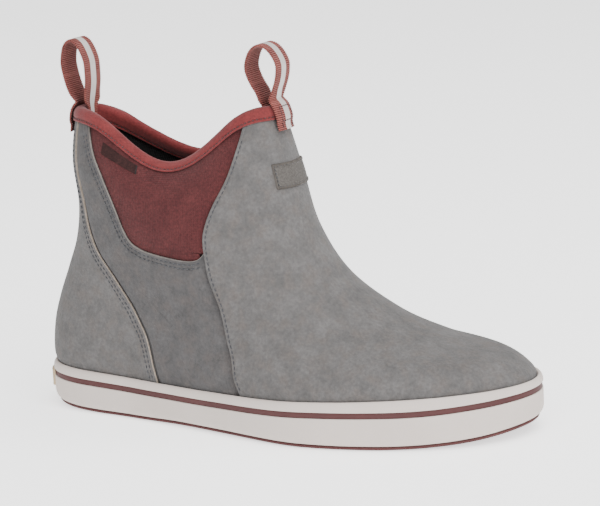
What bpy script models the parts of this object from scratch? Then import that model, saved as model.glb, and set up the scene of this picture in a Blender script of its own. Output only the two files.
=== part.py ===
"""Ankle deck boot for the right foot: leather over a soft bootie on a rubber sole, with two pull loops.

Lengths below are millimetres; the meshes are written in metres.
+X points to the toe, +Y to the inner (big-toe) side, +Z up. The boot stands on z = 0.
The upper is described by two numbers: "turn" goes round the foot (0 at the toe, +-pi at the heel,
negative on the outer side) and "level" climbs from the feather line (0) to the collar (1).
"""
import math

import bpy
import numpy as np
from mathutils import Vector
from mathutils.geometry import delaunay_2d_cdt

MM = 0.001
COLUMNS = 48
GAP = 0.3
# middle of the overall box in the plan measures below; it becomes the origin
MIDDLE = (-0.6, -5.03, 0.0)

# plan of the sole: half widths at stations from the heel (0) to the toe (1)
LENGTH = 302.0
STATIONS = [0.00, 0.06, 0.16, 0.30, 0.45, 0.60, 0.72, 0.83, 0.93, 1.00]
OUTER_HALF = [68.0, 57.0, 45.5, 44.5, 52.0, 62.5, 66.0, 68.0, 69.5, 69.5]
INNER_HALF = [73.0, 64.0, 47.5, 37.5, 35.0, 42.0, 51.5, 61.0, 67.5, 71.0]
TOE_SWING = 9.0

# side view of the sole: underside, top of the rubber wall, depth of the stripe below that top
GROUND_X = [-151.0, -130.0, -105.0, -80.0, -50.0, 0.0, 35.0, 80.0, 105.0, 130.0, 151.0]
GROUND_Z = [2.6, 0.9, 0.0, 0.0, 0.6, 0.5, 0.0, 0.0, 0.8, 3.0, 6.8]
WALL_X = [-151.0, -100.0, -50.0, 0.0, 50.0, 100.0, 130.0, 151.0]
WALL_Z = [27.0, 25.0, 24.0, 25.0, 27.0, 29.0, 30.2, 30.8]
STRIPE_X = [-151.0, -50.0, 50.0, 110.0, 151.0]
STRIPE_DROP = [7.1, 6.7, 7.3, 8.0, 6.0]

# key sections of the leather surface, from the feather line up to the collar
LEVELS = [0.00, 0.10, 0.22, 0.36, 0.50, 0.62, 0.74, 0.87, 1.00]
FRONT_X = [147.5, 145.5, 134.5, 108.5, 73.0, 41.5, 23.0, 13.5, 4.0]
FRONT_Z = [30.0, 33.8, 41.6, 47.2, 60.5, 81.5, 109.5, 145.0, 179.5]
REAR_X = [-147.5, -150.0, -148.5, -143.5, -136.0, -129.0, -126.0, -128.5, -125.0]
REAR_Z = [25.0, 32.0, 49.0, 66.5, 84.5, 102.0, 122.0, 149.0, 176.0]
SWELL = [1.00, 1.00, 0.97, 0.93, 0.88, 0.85, 0.86, 0.88, 0.90]
SHAFT_SHARE = [0.00, 0.00, 0.12, 0.35, 0.60, 0.80, 0.95, 1.00, 1.00]
SHAFT_HALF = [40.0, 40.0, 40.0, 40.0, 40.0, 40.5, 40.0, 36.0, 22.5]
FLAT_FRONT = [0.00, 0.00, 0.02, 0.04, 0.07, 0.10, 0.12, 0.18, 0.38]
FLAT_REAR = [0.00, 0.00, 0.02, 0.04, 0.07, 0.10, 0.12, 0.14, 0.25]
COLLAR_DIP = 27.5
DIP_SHARPNESS = 5.8
INNER_SHARPNESS = 3.2
DIP_SHIFT = 0.42

# the layers, as depths below the outer leather surface
UPPER_INSET = 3.5
SKIRT_HEIGHT = 10.8
LEATHER = 1.4
STEP = LEATHER + GAP
LAP = LEATHER + 0.55
LAP_WIDTH = 6.0
GORE_THICK = 1.3
LINING_TOP = 3.7
LINING_THICK = 1.5
BINDING = 1.0

# seams, as (level, turn) pairs
VAMP_EDGE = [(-0.10, 1.60), (0.00, 1.60), (0.15, 1.60), (0.37, 1.53), (0.52, 1.42), (0.66, 1.32),
             (0.76, 1.23), (0.82, 1.11), (0.88, 0.94), (0.93, 0.82), (1.00, 0.64)]
COUNTER_EDGE = [(-0.10, 2.02), (0.03, 2.02), (0.18, 2.03), (0.31, 2.05), (0.45, 2.11), (0.54, 2.21),
                (0.62, 2.37), (0.70, 2.50), (0.80, 2.59), (0.89, 2.66), (1.00, 2.76)]
# outline of the stretch gore from the collar at its rear edge round to the vamp
GORE_EDGE = [(1.00, 2.47), (0.96, 2.40), (0.91, 2.29), (0.86, 2.16), (0.81, 2.08), (0.76, 2.03),
             (0.715, 1.99), (0.680, 1.94), (0.664, 1.86), (0.658, 1.76), (0.656, 1.62), (0.658, 1.48),
             (0.668, 1.38), (0.690, 1.31)]

# pull loops: centre line of the strap as (half width, height) above the hinge line
STRAP_WIDE = 18.0
STRAP_THICK = 1.3
HINGE_RISE = 6.0
FRONT_LOOP = [(1.5, -1.0), (2.4, 1.4), (4.4, 4.2), (7.4, 8.6), (9.2, 13.6), (9.7, 19.0), (7.2, 25.2),
              (3.8, 28.9), (0.0, 30.3)]
REAR_LOOP = [(1.5, -1.0), (2.4, 1.4), (4.3, 4.2), (6.5, 9.3), (7.5, 16.6), (7.6, 22.6), (5.5, 29.8),
             (3.0, 33.5), (0.0, 35.0)]
FRONT_LEAN = -6.5
REAR_LEAN = -6.3

ROWS = [0.00, 0.035, 0.07, 0.11, 0.16, 0.22, 0.28, 0.34, 0.41, 0.48, 0.55, 0.62, 0.69, 0.76, 0.82,
        0.88, 0.93, 0.965]
LAYER_TOP = 0.990

# flat pattern used while cutting panels: millimetres per radian of turn and per unit of level
WIDE_SCALE = 60.0
TALL_SCALE = 160.0


def curve(xs, ys, x):
    """Smooth curve through the given points, read at x."""
    xs = np.asarray(xs, float)
    ys = np.asarray(ys, float)
    x = np.clip(np.asarray(x, float), xs[0], xs[-1])
    h = np.diff(xs)
    slope = np.diff(ys) / h
    m = np.empty_like(ys)
    m[1:-1] = (slope[:-1] * h[1:] + slope[1:] * h[:-1]) / (h[:-1] + h[1:])
    m[0] = 1.5 * slope[0] - 0.5 * m[1]
    m[-1] = 1.5 * slope[-1] - 0.5 * m[-2]
    i = np.clip(np.searchsorted(xs, x, side="right") - 1, 0, len(xs) - 2)
    t = (x - xs[i]) / h[i]
    start = (1 + 2 * t) * (1 - t) ** 2 * ys[i] + t * (1 - t) ** 2 * h[i] * m[i]
    end = t * t * (3 - 2 * t) * ys[i + 1] + t * t * (t - 1) * h[i] * m[i + 1]
    return start + end


def ground(x):
    return np.maximum(curve(GROUND_X, GROUND_Z, x), 0.0)


def wall_top(x):
    return curve(WALL_X, WALL_Z, x)


def stripe_middle(x):
    return wall_top(x) - curve(STRIPE_X, STRIPE_DROP, x)


def half_width(turn, along):
    outer = curve(STATIONS, OUTER_HALF, along)
    inner = curve(STATIONS, INNER_HALF, along)
    return np.where(np.sin(turn) < 0, outer, inner)


def swing(along):
    """The toe end of a last swings towards the inner side."""
    return TOE_SWING * np.clip(along - 0.45, 0, 1) ** 2 / 0.3025


def sole_edge(turn):
    along = 0.5 + 0.5 * np.cos(turn)
    x = np.cos(turn) * LENGTH / 2
    y = half_width(turn, along) * np.sin(turn) + swing(along)
    return x, y


def outline(turn, inset):
    """Plan outline of the sole moved inward by inset."""
    turn = np.asarray(turn, float)
    x, y = sole_edge(turn)
    ahead = sole_edge(turn + 0.02)
    behind = sole_edge(turn - 0.02)
    dx = ahead[0] - behind[0]
    dy = ahead[1] - behind[1]
    size = np.hypot(dx, dy)
    return x - inset * dy / size, y + inset * dx / size


def section(turn, k):
    """Key section number k of the leather surface."""
    along = 0.5 + 0.5 * np.cos(turn)
    sine = np.abs(np.sin(turn))
    if k == 0:
        x, y = outline(turn, UPPER_INSET)
        return np.stack([x, y, wall_top(x) - 1.5], -1)
    x = REAR_X[k] + (FRONT_X[k] - REAR_X[k]) * along
    share = SHAFT_SHARE[k]
    wide = (1 - share) * (half_width(turn, along) - 3.0) * SWELL[k] + share * SHAFT_HALF[k]
    flat = FLAT_FRONT[k] * along + FLAT_REAR[k] * (1 - along)
    y = np.sign(np.sin(turn)) * wide * sine ** (1 - flat) + swing(along) * (1 - share)
    z = REAR_Z[k] + (FRONT_Z[k] - REAR_Z[k]) * along
    drop = max(LEVELS[k] - 0.6, 0) / 0.4
    sharp = np.where(np.sin(turn) > 0, INNER_SHARPNESS, DIP_SHARPNESS)
    z = z - COLLAR_DIP * drop ** 2 * sine ** sharp * (1 + DIP_SHIFT * np.cos(turn))
    return np.stack([x, y, z], -1)


def leather(turn, level):
    """Points of the outer leather surface."""
    turn, level = np.broadcast_arrays(np.asarray(turn, float), np.asarray(level, float))
    keys = np.stack([section(turn, k) for k in range(len(LEVELS))])
    at = np.asarray(LEVELS)
    h = np.diff(at)
    tall = h.reshape((-1,) + (1,) * (keys.ndim - 1))
    slope = np.diff(keys, axis=0) / tall
    m = np.empty_like(keys)
    m[1:-1] = (slope[:-1] * tall[1:] + slope[1:] * tall[:-1]) / (tall[:-1] + tall[1:])
    m[0] = 1.5 * slope[0] - 0.5 * m[1]
    m[-1] = 1.5 * slope[-1] - 0.5 * m[-2]
    up = np.clip(level, 0, None)
    i = np.clip(np.searchsorted(at, up, side="right") - 1, 0, len(at) - 2)
    t = ((up - at[i]) / h[i])[..., None]
    size = h[i][..., None]

    def pick(values, j):
        return np.take_along_axis(values, j[None, ..., None], 0)[0]

    out = (1 + 2 * t) * (1 - t) ** 2 * pick(keys, i) + t * (1 - t) ** 2 * size * pick(m, i)
    out = out + t * t * (3 - 2 * t) * pick(keys, i + 1) + t * t * (t - 1) * size * pick(m, i + 1)
    # below the feather line the leather runs straight down behind the rubber wall
    down = np.clip(-level / 0.1, 0, 1)
    low = ground(out[..., 0]) + SKIRT_HEIGHT
    out[..., 2] = out[..., 2] + (low - out[..., 2]) * down
    return out


def facing(turn, level):
    """Outward normal of the leather surface."""
    turn, level = np.broadcast_arrays(np.asarray(turn, float), np.asarray(level, float))
    e = 0.002
    a = leather(turn + e, level) - leather(turn - e, level)
    b = leather(turn, np.clip(level + e, -0.1, 1.0)) - leather(turn, np.clip(level - e, -0.1, 1.0))
    n = np.cross(a, b)
    return n / np.linalg.norm(n, axis=-1, keepdims=True)


def under(turn, level, depth):
    """Points at the given depth below the outer leather surface."""
    return leather(turn, level) - facing(turn, level) * np.asarray(depth, float)[..., None]


def pairs(seam):
    levels = [p[0] for p in seam]
    turns = [p[1] for p in seam]
    return levels, turns


def seam_turn(seam, level):
    levels, turns = pairs(seam)
    return curve(levels, turns, level)


def stretch(turn, level):
    """Millimetres of leather per radian of turn."""
    e = 0.004
    step = leather(turn + e, level) - leather(turn - e, level)
    return np.linalg.norm(step, axis=-1) / (2 * e)


def moved(turn, level, distance):
    """Turn shifted along the surface by a distance in millimetres."""
    return turn + distance / stretch(turn, level)


def collar_frame(turn):
    """Point, outward normal and rising direction at the collar edge."""
    p = leather(turn, np.ones_like(np.asarray(turn, float)))
    n = facing(turn, np.ones_like(np.asarray(turn, float)))
    rise = p - leather(turn, np.full_like(np.asarray(turn, float), 0.985))
    rise = rise / np.linalg.norm(rise, axis=-1, keepdims=True)
    return p, n, rise


def make_object(name, points, faces, material, origin=(0.0, 0.0, 0.0)):
    mesh = bpy.data.meshes.new(name)
    local = np.asarray(points, float) - np.asarray(origin, float)
    mesh.from_pydata([tuple(p) for p in local * MM], [], [tuple(f) for f in faces])
    mesh.validate()
    mesh.update()
    mesh.materials.append(material)
    obj = bpy.data.objects.new(name, mesh)
    obj.location = (Vector(origin) - Vector(MIDDLE)) * MM
    bpy.context.scene.collection.objects.link(obj)
    return obj


def make_material(name, colour, roughness, metallic=0.0):
    material = bpy.data.materials.new(name)
    material.use_nodes = True
    shader = material.node_tree.nodes["Principled BSDF"]
    shader.inputs["Base Color"].default_value = (*colour, 1.0)
    shader.inputs["Roughness"].default_value = roughness
    shader.inputs["Metallic"].default_value = metallic
    return material


def thick_panel(name, edge, folds, outer, inner, material):
    """Cut a panel from the upper: edge is its outline as (turn, level), outer and inner are depths.

    Folds are lines of (turn, level) points inside the panel that the facets must follow.
    """
    ring = [(a * WIDE_SCALE, b * TALL_SCALE) for a, b in edge]
    spots = [Vector(p) for p in ring]
    borders = [(i, (i + 1) % len(ring)) for i in range(len(ring))]
    taken = [(ring, True)]
    for fold in folds:
        line = [(a * WIDE_SCALE, b * TALL_SCALE) for a, b in fold]
        start = len(spots)
        spots += [Vector(p) for p in line]
        borders += [(start + i, start + i + 1) for i in range(len(line) - 1)]
        taken.append((line, False))
    step = 2 * math.pi / COLUMNS
    low = min(a for a, b in edge)
    high = max(a for a, b in edge)
    for i in range(math.ceil(low / step), math.floor(high / step) + 1):
        for row in ROWS:
            p = (i * step * WIDE_SCALE, row * TALL_SCALE)
            near = min(line_distance(line, p, closed) for line, closed in taken)
            if contains(ring, p) and near > 1.6:
                spots.append(Vector(p))
    result = delaunay_2d_cdt(spots, borders, [], 1, 1e-5)
    spots = result[0]
    triangles = [tuple(t) for t in result[2]]
    turn = np.array([p.x / WIDE_SCALE for p in spots])
    level = np.array([p.y / TALL_SCALE for p in spots])
    top = under(turn, level, outer(turn, level))
    bottom = under(turn, level, inner(turn, level))
    total = len(spots)
    faces = []
    used = {}
    for t in triangles:
        a, b, c = t
        area = (spots[b] - spots[a]).cross(spots[c] - spots[a])
        if area < 0:
            t = (a, c, b)
        faces.append(t)
        faces.append((t[2] + total, t[1] + total, t[0] + total))
        for i in range(3):
            used[(t[i], t[(i + 1) % 3])] = True
    for a, b in list(used):
        if (b, a) not in used:
            faces.append((b, a, a + total))
            faces.append((b, a + total, b + total))
    return make_object(name, np.vstack([top, bottom]), faces, material)


def contains(ring, p):
    """Whether point p lies inside the closed outline."""
    inside = False
    for i in range(len(ring)):
        x1, y1 = ring[i]
        x2, y2 = ring[i - 1]
        if (y1 > p[1]) != (y2 > p[1]):
            if p[0] < (x2 - x1) * (p[1] - y1) / (y2 - y1) + x1:
                inside = not inside
    return inside


def line_distance(line, p, closed):
    """Distance from p to a line of points."""
    best = 1e9
    for i in range(0 if closed else 1, len(line)):
        x1, y1 = line[i - 1]
        dx = line[i][0] - x1
        dy = line[i][1] - y1
        t = ((p[0] - x1) * dx + (p[1] - y1) * dy) / max(dx * dx + dy * dy, 1e-12)
        t = min(max(t, 0.0), 1.0)
        best = min(best, math.hypot(p[0] - x1 - t * dx, p[1] - y1 - t * dy))
    return best


def level_steps(low, high):
    """Row levels between two ends, both included."""
    middle = [r for r in ROWS if low + 0.012 < r < high - 0.012]
    return [low] + middle + [high]


def turns_between(start, end, extra=()):
    """Column turns strictly between two ends, with extra ones worked in."""
    step = 2 * math.pi / COLUMNS
    fixed = [start, end] + list(extra)
    found = list(extra)
    for i in range(math.ceil(start / step), math.floor(end / step) + 1):
        if min(abs(i * step - t) for t in fixed) > 0.25 * step:
            found.append(i * step)
    return sorted(found)


def lap_turn(seam, level, distance):
    """Turn of a line running beside a seam, positive distances towards the heel."""
    t = seam_turn(seam, level)
    return float(moved(t, level, distance))


def constant(depth):
    return lambda turn, level: np.full_like(turn, depth)


def dip(turn, level):
    """How far the quarter sinks where the vamp or the counter laps over it (0 to 1)."""
    side = np.abs(turn)
    size = stretch(side, level)
    from_vamp = (side - seam_turn(VAMP_EDGE, level)) * size
    from_counter = (seam_turn(COUNTER_EDGE, level) - side) * size
    a = np.clip((6.0 - from_vamp) / 5.0, 0, 1)
    b = np.clip((3.8 - from_counter) / 3.2, 0, 1)
    return np.maximum(a, b)


def make_vamp(material):
    levels = level_steps(-0.10, LAYER_TOP)
    side = [(float(seam_turn(VAMP_EDGE, v)), v) for v in levels]
    fold = [(lap_turn(VAMP_EDGE, v, -LAP_WIDTH), v) for v in levels]
    rows = []
    for end in (0, -1):
        limit, level = side[end]
        extra = (-fold[end][0], fold[end][0])
        rows.append([(t, level) for t in turns_between(-limit, limit, extra)])
    ring = rows[0] + side + rows[1][::-1] + mirror(side, -1)
    folds = [fold[1:-1], mirror(fold[1:-1], -1)]
    return thick_panel("vamp", ring, folds, constant(0.0), constant(LEATHER), material)


def make_counter(material):
    levels = level_steps(-0.10, LAYER_TOP)
    start = [(float(seam_turn(COUNTER_EDGE, v)), v) for v in levels]
    fold = [(lap_turn(COUNTER_EDGE, v, LAP_WIDTH), v) for v in levels]
    end = [(2 * math.pi - t, v) for t, v in start]
    rows = []
    for k in (0, -1):
        extra = (fold[k][0], 2 * math.pi - fold[k][0])
        rows.append([(t, start[k][1]) for t in turns_between(start[k][0], end[k][0], extra)])
    ring = rows[0] + end + rows[1][::-1] + start[::-1]
    folds = [fold[1:-1], [(2 * math.pi - t, v) for t, v in fold[1:-1]]]
    return thick_panel("heel_counter", ring, folds, constant(0.0), constant(LEATHER), material)


def gore_line():
    """Visible edge of the gore as smooth (turn, level) points, rear top to front bottom."""
    index = list(range(len(GORE_EDGE)))
    at = np.linspace(0, len(GORE_EDGE) - 1, 27)
    turns = curve(index, [p[1] for p in GORE_EDGE], at)
    levels = curve(index, [p[0] for p in GORE_EDGE], at)
    return [(float(t), float(v)) for t, v in zip(turns, levels)]


def mirror(points, side):
    """Outer side keeps turns negative; both sides run round in the same sense."""
    if side > 0:
        return points
    return [(-t, v) for t, v in points[::-1]]


def make_quarter(name, side, material):
    """Leather below and behind the gore; it sinks under the vamp and under the heel counter."""
    levels = level_steps(-0.10, LAYER_TOP)
    low_levels = level_steps(-0.10, 0.62)
    front = [(lap_turn(VAMP_EDGE, v, -LAP_WIDTH), v) for v in low_levels + [0.675]]
    front.append((1.215, 0.700))
    rear = [(lap_turn(COUNTER_EDGE, v, LAP_WIDTH), v) for v in levels]
    folds = []
    folds.append([(lap_turn(VAMP_EDGE, v, 1.0), v) for v in low_levels + [0.65]])
    folds.append([(lap_turn(VAMP_EDGE, v, 6.0), v) for v in low_levels + [0.65]])
    folds.append([(lap_turn(COUNTER_EDGE, v, -0.6), v) for v in levels])
    folds.append([(lap_turn(COUNTER_EDGE, v, -3.8), v) for v in levels])
    low = [(t, -0.10) for t in turns_between(front[0][0], rear[0][0], [fold[0][0] for fold in folds])]
    high = [folds[2][-1], folds[3][-1]]
    top = [(2.452, LAYER_TOP)] + [p for p in gore_line() if p[1] < LAYER_TOP - 0.006]
    ring = low + rear + high + top + front[::-1]
    folds = [folds[0][1:], folds[1][1:], folds[2][1:-1], folds[3][1:-1]]

    def outer(turn, level):
        return LAP * dip(turn, level)

    def inner(turn, level):
        return LAP * dip(turn, level) + LEATHER

    folds = [mirror(fold, side) for fold in folds]
    return thick_panel(name, mirror(ring, side), folds, outer, inner, material)


def make_gore(name, side, material):
    """The gore reaches 5 mm under the leather, but ends at the seam in the front lower corner."""
    rear = []
    for t, v in gore_line():
        if v >= LAYER_TOP:
            continue
        if v > 0.70 and t > 1.5:
            rear.append((float(moved(t, v, 3.0)), v))
        elif t > 1.45:
            lift = 0.028 * min(1.0, (t - 1.45) / 0.25)
            out = 3.0 * min(1.0, max(0.0, (v - 0.655) / 0.03)) if t > 1.7 else 0.0
            rear.append((float(moved(t, v, out)), v - lift))
    rear.append((1.42, 0.666))
    rear.append((1.36, 0.676))
    rear.append((1.31, 0.700))
    rear.insert(0, (2.50, LAYER_TOP))
    front = [(1.22, 0.712)]
    for v in level_steps(0.73, LAYER_TOP):
        t = float(seam_turn(VAMP_EDGE, v))
        front.append((float(moved(t, v, -5.0)), v))
    high = [(t, LAYER_TOP) for t in turns_between(front[-1][0], rear[0][0])]
    ring = rear[::-1] + high[::-1] + front[::-1]
    return thick_panel(name, mirror(ring, side), [], constant(STEP), constant(STEP + GORE_THICK), material)


def patch_on_upper(name, turns, levels, outer, inner, material):
    """Small rectangular piece laid on the upper."""
    low = [(t, levels[0]) for t in turns]
    high = [(t, levels[-1]) for t in turns[::-1]]
    end = [(turns[-1], v) for v in levels[1:-1]]
    start = [(turns[0], v) for v in levels[1:-1][::-1]]
    return thick_panel(name, low + end + high + start, [], constant(outer), constant(inner), material)


def ring_grid(name, loops, material, origin=(0.0, 0.0, 0.0)):
    """Closed tube: loops is a list of point rows round a closed cross-section, each closed in itself."""
    rows = len(loops)
    count = len(loops[0])
    points = np.vstack(loops)
    faces = []
    for r in range(rows):
        s = (r + 1) % rows
        for c in range(count):
            d = (c + 1) % count
            faces.append((r * count + c, r * count + d, s * count + d, s * count + c))
    return make_object(name, points, faces, material, origin)


def all_turns(count=COLUMNS):
    return np.arange(count) * 2 * math.pi / count - math.pi


def lining_depth(level):
    """The lining is pared thinner towards the collar."""
    return LINING_TOP + LINING_THICK - 0.6 * np.clip((level - 0.90) / 0.06, 0, 1)


def make_lining(material):
    turns = all_turns()
    levels = [-0.08, 0.0, 0.07, 0.15] + ROWS[5:] + [LAYER_TOP]
    outside = [under(turns, np.full_like(turns, v), np.full_like(turns, LINING_TOP)) for v in levels]
    inside = [under(turns, np.full_like(turns, v), np.full_like(turns, float(lining_depth(v)))) for v in levels]
    return ring_grid("bootie_lining", outside + inside[::-1], material)


def hug(turn):
    """The collar binding sinks onto the gore between the leather edges (0 to 1)."""
    side = np.abs((turn + math.pi) % (2 * math.pi) - math.pi)
    a = np.clip((side - 0.77) / 0.12, 0, 1)
    b = np.clip((2.35 - side) / 0.12, 0, 1)
    return a * b


def make_binding(material):
    turns = all_turns()
    sink = (STEP * hug(turns))[:, None]
    p, n, rise = collar_frame(turns)
    inner = LINING_TOP + LINING_THICK - 0.6
    arm_in = inner + 0.4
    arm_out = arm_in + BINDING
    crown = 0.5 * arm_out
    outer_foot = -GAP - 0.05
    shape = [
        (outer_foot, -6.5, 1), (outer_foot - BINDING, -6.5, 1), (outer_foot - BINDING - 0.15, -3.5, 1),
        (outer_foot - BINDING, -0.5, 1), (0.4, 1.4, 0.6), (crown, 2.1, 0.3), (arm_out - 1.4, 1.4, 0),
        (arm_out, -0.5, 0), (arm_out + 0.15, -3.5, 0), (arm_out, -6.5, 0), (arm_in, -6.5, 0),
        (arm_in, -0.7, 0), (crown, 0.6, 0.3), (outer_foot, -0.7, 1),
    ]
    loops = [p - n * (depth + sink * share) + rise * up for depth, up, share in shape]
    return ring_grid("collar_binding", loops, material)


def wall_ring(name, profile, material):
    """Rubber ring round the sole; the profile holds (inset, height rule) pairs."""
    turns = all_turns()
    loops = []
    for inset, height in profile:
        x, y = outline(turns, inset)
        loops.append(np.stack([x, y, height(x)], -1))
    return ring_grid(name, loops, material)


def make_wall_lower(material):
    top = lambda x: stripe_middle(x) - 1.75
    profile = [
        (5.2, lambda x: ground(x) + 2.4), (5.2, lambda x: ground(x) + 10.4), (3.2, lambda x: ground(x) + 10.4),
        (3.2, top), (0.0, top), (0.0, lambda x: ground(x) + 7.0), (0.45, lambda x: ground(x) + 4.8),
        (1.3, lambda x: ground(x) + 3.3), (2.3, lambda x: ground(x) + 2.4),
    ]
    return wall_ring("sidewall_lower", profile[::-1], material)


def make_wall_stripe(material):
    low = lambda x: stripe_middle(x) - 1.45
    high = lambda x: stripe_middle(x) + 1.45
    return wall_ring("sidewall_stripe", [(0.7, low), (0.7, high), (3.2, high), (3.2, low)], material)


def make_wall_upper(material):
    low = lambda x: stripe_middle(x) + 1.75
    profile = [
        (0.3, low), (0.0, lambda x: stripe_middle(x) + 2.5), (0.1, lambda x: wall_top(x) - 3.0),
        (0.7, lambda x: wall_top(x) - 1.1), (1.6, lambda x: wall_top(x) - 0.2),
        (2.5, lambda x: wall_top(x) - 0.3), (3.2, lambda x: wall_top(x) - 1.2), (3.2, low),
    ]
    return wall_ring("sidewall_upper", profile, material)


def plate(name, profile, material, across=2):
    """Flat piece filling the sole outline: profile rises from the underside to the top edge."""
    half = COLUMNS // 2
    turns = all_turns()
    points = []
    for inset, height in profile:
        x, y = outline(turns, inset)
        points.append(np.stack([x, y, height(x)], -1))
    faces = []
    for r in range(len(profile) - 1):
        for c in range(COLUMNS):
            d = (c + 1) % COLUMNS
            faces.append((r * COLUMNS + c, r * COLUMNS + d, (r + 1) * COLUMNS + d, (r + 1) * COLUMNS + c))
    verts = list(np.vstack(points))
    for level in (0, len(profile) - 1):
        base = level * COLUMNS
        rows = []
        for c in range(1, half):
            a = base + c
            b = base + COLUMNS - c
            row = [a]
            for k in range(1, across):
                share = k / across
                row.append(len(verts))
                verts.append(verts[a] * (1 - share) + verts[b] * share)
            row.append(b)
            rows.append(row)
        caps = []
        heel = base
        toe = base + half
        for k in range(across):
            caps.append((heel, rows[0][k], rows[0][k + 1]))
            caps.append((toe, rows[-1][k + 1], rows[-1][k]))
            for i in range(len(rows) - 1):
                caps.append((rows[i][k], rows[i + 1][k], rows[i + 1][k + 1], rows[i][k + 1]))
        if level:
            faces += caps
        else:
            faces += [f[::-1] for f in caps]
    return make_object(name, verts, faces, material)


def bar(name, lows, highs, material):
    """Bar from matching rows of four points: lows and highs list (left, right) pairs."""
    points = []
    faces = []
    for (a, b), (c, d) in zip(lows, highs):
        points += [a, b, d, c]
    last = len(lows) - 1
    for i in range(last):
        for k in range(4):
            m = (k + 1) % 4
            faces.append((i * 4 + k, i * 4 + 4 + k, i * 4 + 4 + m, i * 4 + m))
    faces.append((0, 1, 2, 3))
    faces.append((last * 4 + 3, last * 4 + 2, last * 4 + 1, last * 4))
    return make_object(name, points, faces, material)


def cut(target, cutter):
    """Remove the cutter's volume from the target for good."""
    modifier = target.modifiers.new("cut", "BOOLEAN")
    modifier.operation = "DIFFERENCE"
    modifier.solver = "EXACT"
    modifier.object = cutter
    cutter.hide_render = True
    cutter.display_type = "WIRE"
    view = bpy.context.evaluated_depsgraph_get()
    mesh = bpy.data.meshes.new_from_object(target.evaluated_get(view))
    target.modifiers.clear()
    target.data = mesh
    bpy.data.objects.remove(cutter)


def groove(x, half, centre, material):
    """Wavy groove across the tread."""
    waves = 6
    lows = []
    highs = []
    for i in range(waves + 1):
        y = centre - half + 2 * half * i / waves
        shift = 2.2 if i % 2 else -2.2
        a = x + shift
        floor = float(ground(x)) - 3.0
        top = float(ground(a)) + 1.3
        lows.append(((a - 0.8, y, floor), (a + 0.8, y, floor)))
        highs.append(((a - 0.8, y, top), (a + 0.8, y, top)))
    return bar("groove", lows, highs, material)


def make_outsole(material):
    profile = [
        (4.6, lambda x: ground(x)), (3.2, lambda x: ground(x) + 0.35), (2.6, lambda x: ground(x) + 1.0),
        (2.6, lambda x: ground(x) + 2.1), (5.5, lambda x: ground(x) + 2.1), (5.5, lambda x: ground(x) + 3.4),
    ]
    sole = plate("outsole", profile, material)
    for i in range(17):
        x = -126.0 + 15.2 * i
        turn = math.acos(x / (LENGTH / 2))
        outer = float(outline(-turn, 12.0)[1])
        inner = float(outline(turn, 12.0)[1])
        cut(sole, groove(x, 0.5 * (inner - outer), 0.5 * (inner + outer), material))
    return sole


def shank_bar(name, low, high, half, ends, material):
    lows = []
    highs = []
    for i in range(7):
        x = ends[0] + (ends[1] - ends[0]) * i / 6
        base = float(ground(x))
        lows.append(((x, half, base + low), (x, -half, base + low)))
        highs.append(((x, half, base + high), (x, -half, base + high)))
    return bar(name, lows, highs, material)


def make_midsole(material):
    low = lambda x: ground(x) + 3.7
    high = lambda x: ground(x) + 10.4
    sole = plate("midsole", [(5.6, low), (5.6, high)], material)
    cut(sole, shank_bar("pocket", 8.5, 13.0, 9.4, (-86.0, 26.0), material))
    return sole


def make_board(material):
    low = lambda x: ground(x) + 10.8
    high = lambda x: ground(x) + 12.6
    return plate("insole_board", [(7.5, low), (7.5, high)], material)


def bed_height(x, share):
    """Shaped top of the footbed: heel cup, and an arch on the inner side; share runs 0 to 1 across."""
    thick = curve([-151.0, -110.0, -60.0, 0.0, 60.0, 151.0], [6.2, 5.6, 6.4, 6.0, 4.4, 3.6], x)
    cup = curve([-151.0, -110.0, -40.0, 20.0, 151.0], [3.0, 3.0, 1.2, 0.2, 0.0], x)
    arch = curve([-151.0, -90.0, -40.0, 15.0, 60.0, 151.0], [0.0, 0.6, 3.4, 2.4, 0.4, 0.0], x)
    side = 2 * share - 1
    return ground(x) + 13.0 + thick + cup * np.abs(side) ** 3 + arch * np.clip(side, 0, 1) ** 2


def bed_layer(name, inset, low, high, material):
    """Layer of the footbed between two height rules."""
    step = 2 * math.pi / COLUMNS
    turns = [0.045] + [i * step for i in range(1, COLUMNS // 2)] + [math.pi - 0.045]
    across = 6
    plan = []
    for t in turns:
        a = np.array(outline(-t, inset))
        b = np.array(outline(t, inset))
        for k in range(across + 1):
            share = k / across
            x, y = a + (b - a) * share
            plan.append((float(x), float(y), share))
    verts = []
    for rule in (low, high):
        for x, y, share in plan:
            verts.append((x, y, float(rule(x, share))))
    wide = across + 1
    last = len(turns) - 1
    layer = len(plan)
    faces = []
    for i in range(last):
        for k in range(across):
            a = i * wide + k
            for three in ((a, a + wide, a + wide + 1), (a, a + wide + 1, a + 1)):
                faces.append(three)
                faces.append(tuple(q + layer for q in three[::-1]))
    border = [i * wide for i in range(last + 1)]
    border += [last * wide + k for k in range(1, wide)]
    border += [i * wide + across for i in range(last - 1, -1, -1)]
    border += [k for k in range(across - 1, 0, -1)]
    for i in range(len(border)):
        a = border[i]
        b = border[(i + 1) % len(border)]
        faces.append((b, a, a + layer, b + layer))
    return make_object(name, verts, faces, material)


def make_footbed(material):
    return bed_layer("footbed", 9.4, lambda x, share: ground(x) + 13.0, bed_height, material)


def make_bed_cover(material):
    low = lambda x, share: bed_height(x, share) + GAP
    high = lambda x, share: bed_height(x, share) + GAP + 0.8
    return bed_layer("footbed_cover", 9.4, low, high, material)


def make_badge(material):
    """Plain tile on the heel wall."""
    turns = np.linspace(math.pi - 0.29, math.pi + 0.29, 9)
    lows = []
    highs = []
    for t in turns:
        xo, yo = outline(t, -1.2)
        xi, yi = outline(t, -GAP)
        lows.append(((float(xi), float(yi), 11.0), (float(xo), float(yo), 11.0)))
        highs.append(((float(xi), float(yi), 21.6), (float(xo), float(yo), 21.6)))
    return bar("heel_badge", lows, highs, material)


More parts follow.
